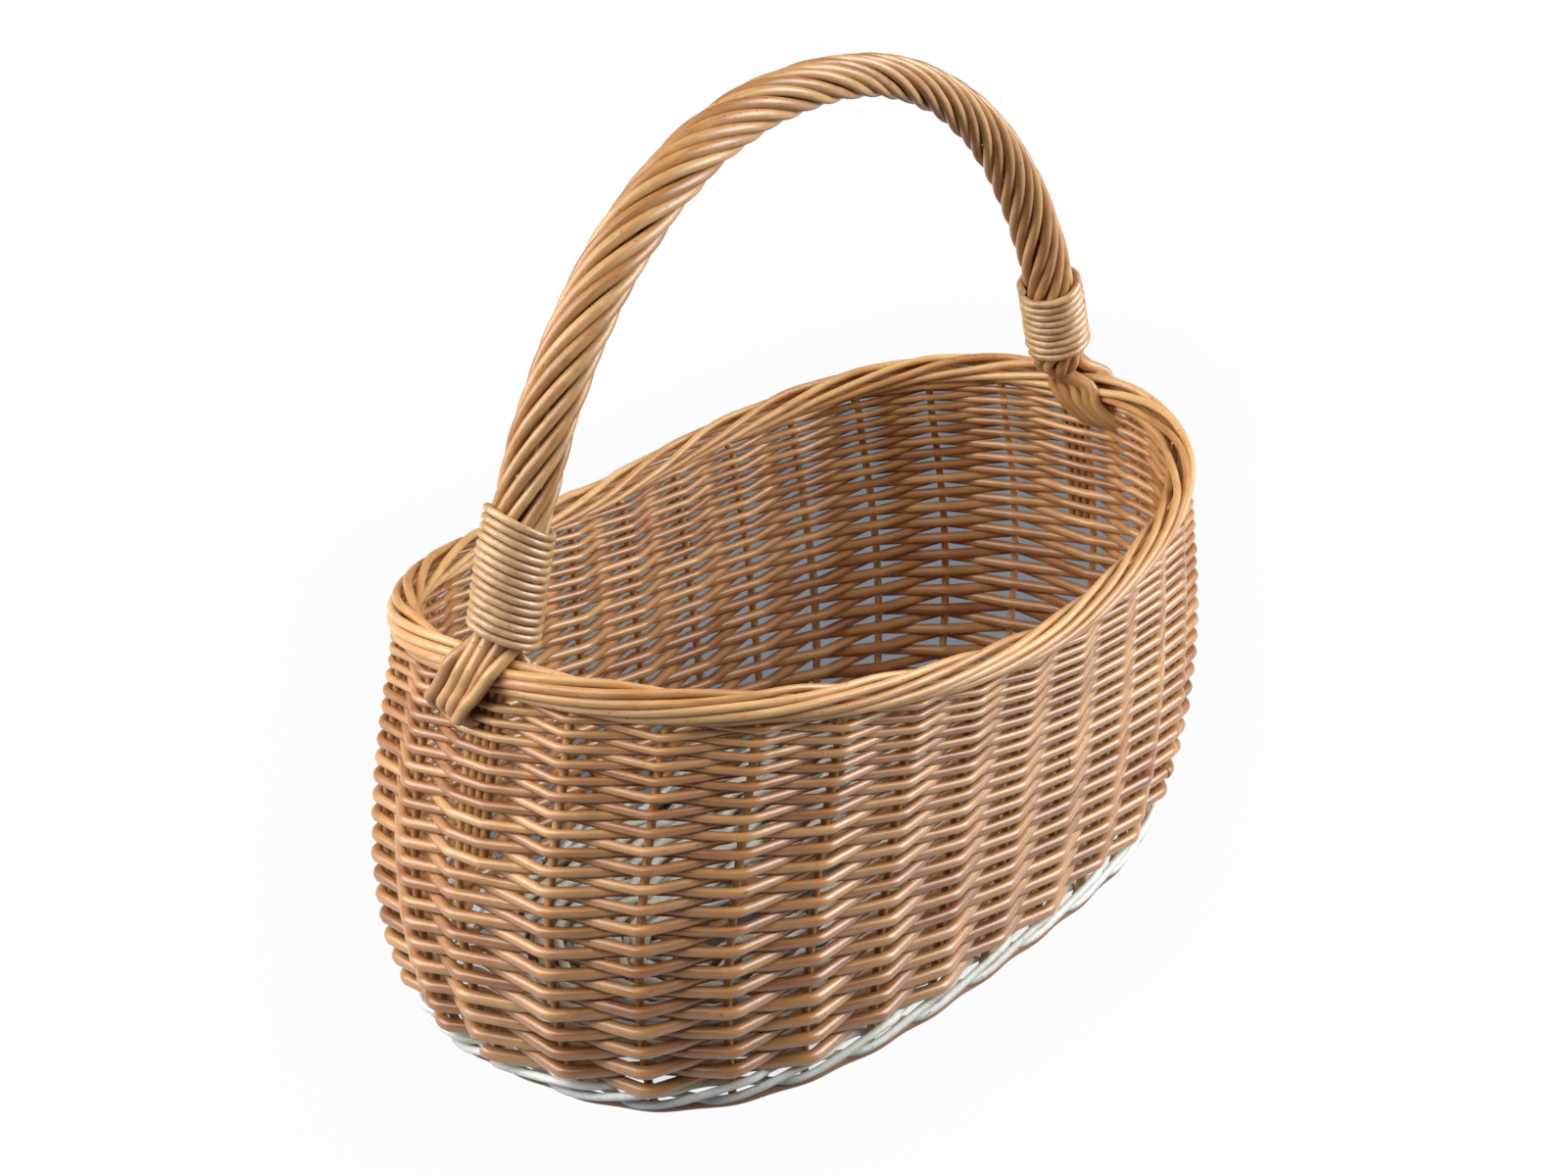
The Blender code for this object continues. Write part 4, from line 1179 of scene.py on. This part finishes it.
def make_world():
    """White backdrop with a plain level of light from all round."""
    world = bpy.data.worlds.new("soft_studio")
    bpy.context.scene.world = world
    world.use_nodes = True
    tree = world.node_tree
    for node in list(tree.nodes):
        tree.nodes.remove(node)
    around, seen, both = tree.nodes.new("ShaderNodeBackground"), tree.nodes.new("ShaderNodeBackground"), tree.nodes.new("ShaderNodeMixShader")
    around.inputs["Color"].default_value = (1.0, 0.98, 0.96, 1.0)
    around.inputs["Strength"].default_value = 0.08
    seen.inputs["Color"].default_value = (1.0, 1.0, 1.0, 1.0)
    path, end = tree.nodes.new("ShaderNodeLightPath"), tree.nodes.new("ShaderNodeOutputWorld")
    tree.links.new(path.outputs["Is Camera Ray"], both.inputs["Fac"])
    tree.links.new(around.outputs["Background"], both.inputs[1])
    tree.links.new(seen.outputs["Background"], both.inputs[2])
    tree.links.new(both.outputs["Shader"], end.inputs["Surface"])


def make_lights():
    """Large soft lamps: left, right and overhead."""
    lamps = (("left_softbox", -131.0, 29.0, 1.4, 1.1, 24.0), ("right_softbox", 42.0, 29.0, 1.4, 1.0, 30.0),
             ("overhead_softbox", -90.0, 52.0, 1.5, 1.0, 13.0))
    for name, azimuth, elevation, distance, size, power in lamps:
        lamp = bpy.data.lights.new(name, "AREA")
        lamp.shape, lamp.size, lamp.energy = "SQUARE", size, power
        light = bpy.data.objects.new(name, lamp)
        bpy.context.scene.collection.objects.link(light)
        right, up, back = view_axes(azimuth, elevation)
        light.matrix_world = facing(Vector((0.0, 0.0, 0.15)) + back*distance, right, up, back)


# The add-on

STEPS = ("foot_rod", "base_sticks", "base_weave", "wale", "stakes", "siding", "bow", "strands", "bindings", "stage")


class BASKET_PT_basket(bpy.types.Panel):
    """Buttons that make the basket, piece by piece"""
    bl_idname = "BASKET_PT_basket"
    bl_label = "Foraging Basket"
    bl_space_type = "VIEW_3D"
    bl_region_type = "UI"
    bl_category = "Basket"

    def draw(self, context):
        for step in STEPS:
            self.layout.operator("basket." + step)
        for group in (context.scene.basket_wall, context.scene.basket_rods, context.scene.basket_handle,
                      context.scene.basket_colours):
            box = self.layout.box()
            for name in group.bl_rna.properties.keys():
                if name not in ("rna_type", "name"):
                    box.prop(group, name)


GROUPS = (("basket_wall", BasketWall), ("basket_rods", BasketRods), ("basket_handle", BasketHandle),
          ("basket_colours", BasketColours))
CLASSES = (BASKET_OT_foot_rod, BASKET_OT_base_sticks, BASKET_OT_base_weave, BASKET_OT_wale, BASKET_OT_stakes,
           BASKET_OT_siding, BASKET_OT_bow, BASKET_OT_strands, BASKET_OT_bindings, BASKET_OT_stage, BASKET_PT_basket)


def register():
    """Register the settings, the operators and the panel."""
    for name, group in GROUPS:
        bpy.utils.register_class(group)
        setattr(bpy.types.Scene, name, PointerProperty(type=group))
    for each in CLASSES:
        bpy.utils.register_class(each)


def unregister():
    """Take them away again."""
    for each in reversed(CLASSES):
        bpy.utils.unregister_class(each)
    for name, group in reversed(GROUPS):
        delattr(bpy.types.Scene, name)
        bpy.utils.unregister_class(group)


def main():
    """Weave the basket and set its stage."""
    register()
    for step in STEPS:
        getattr(bpy.ops.basket, step)()


if __name__ == "__main__":
    main()
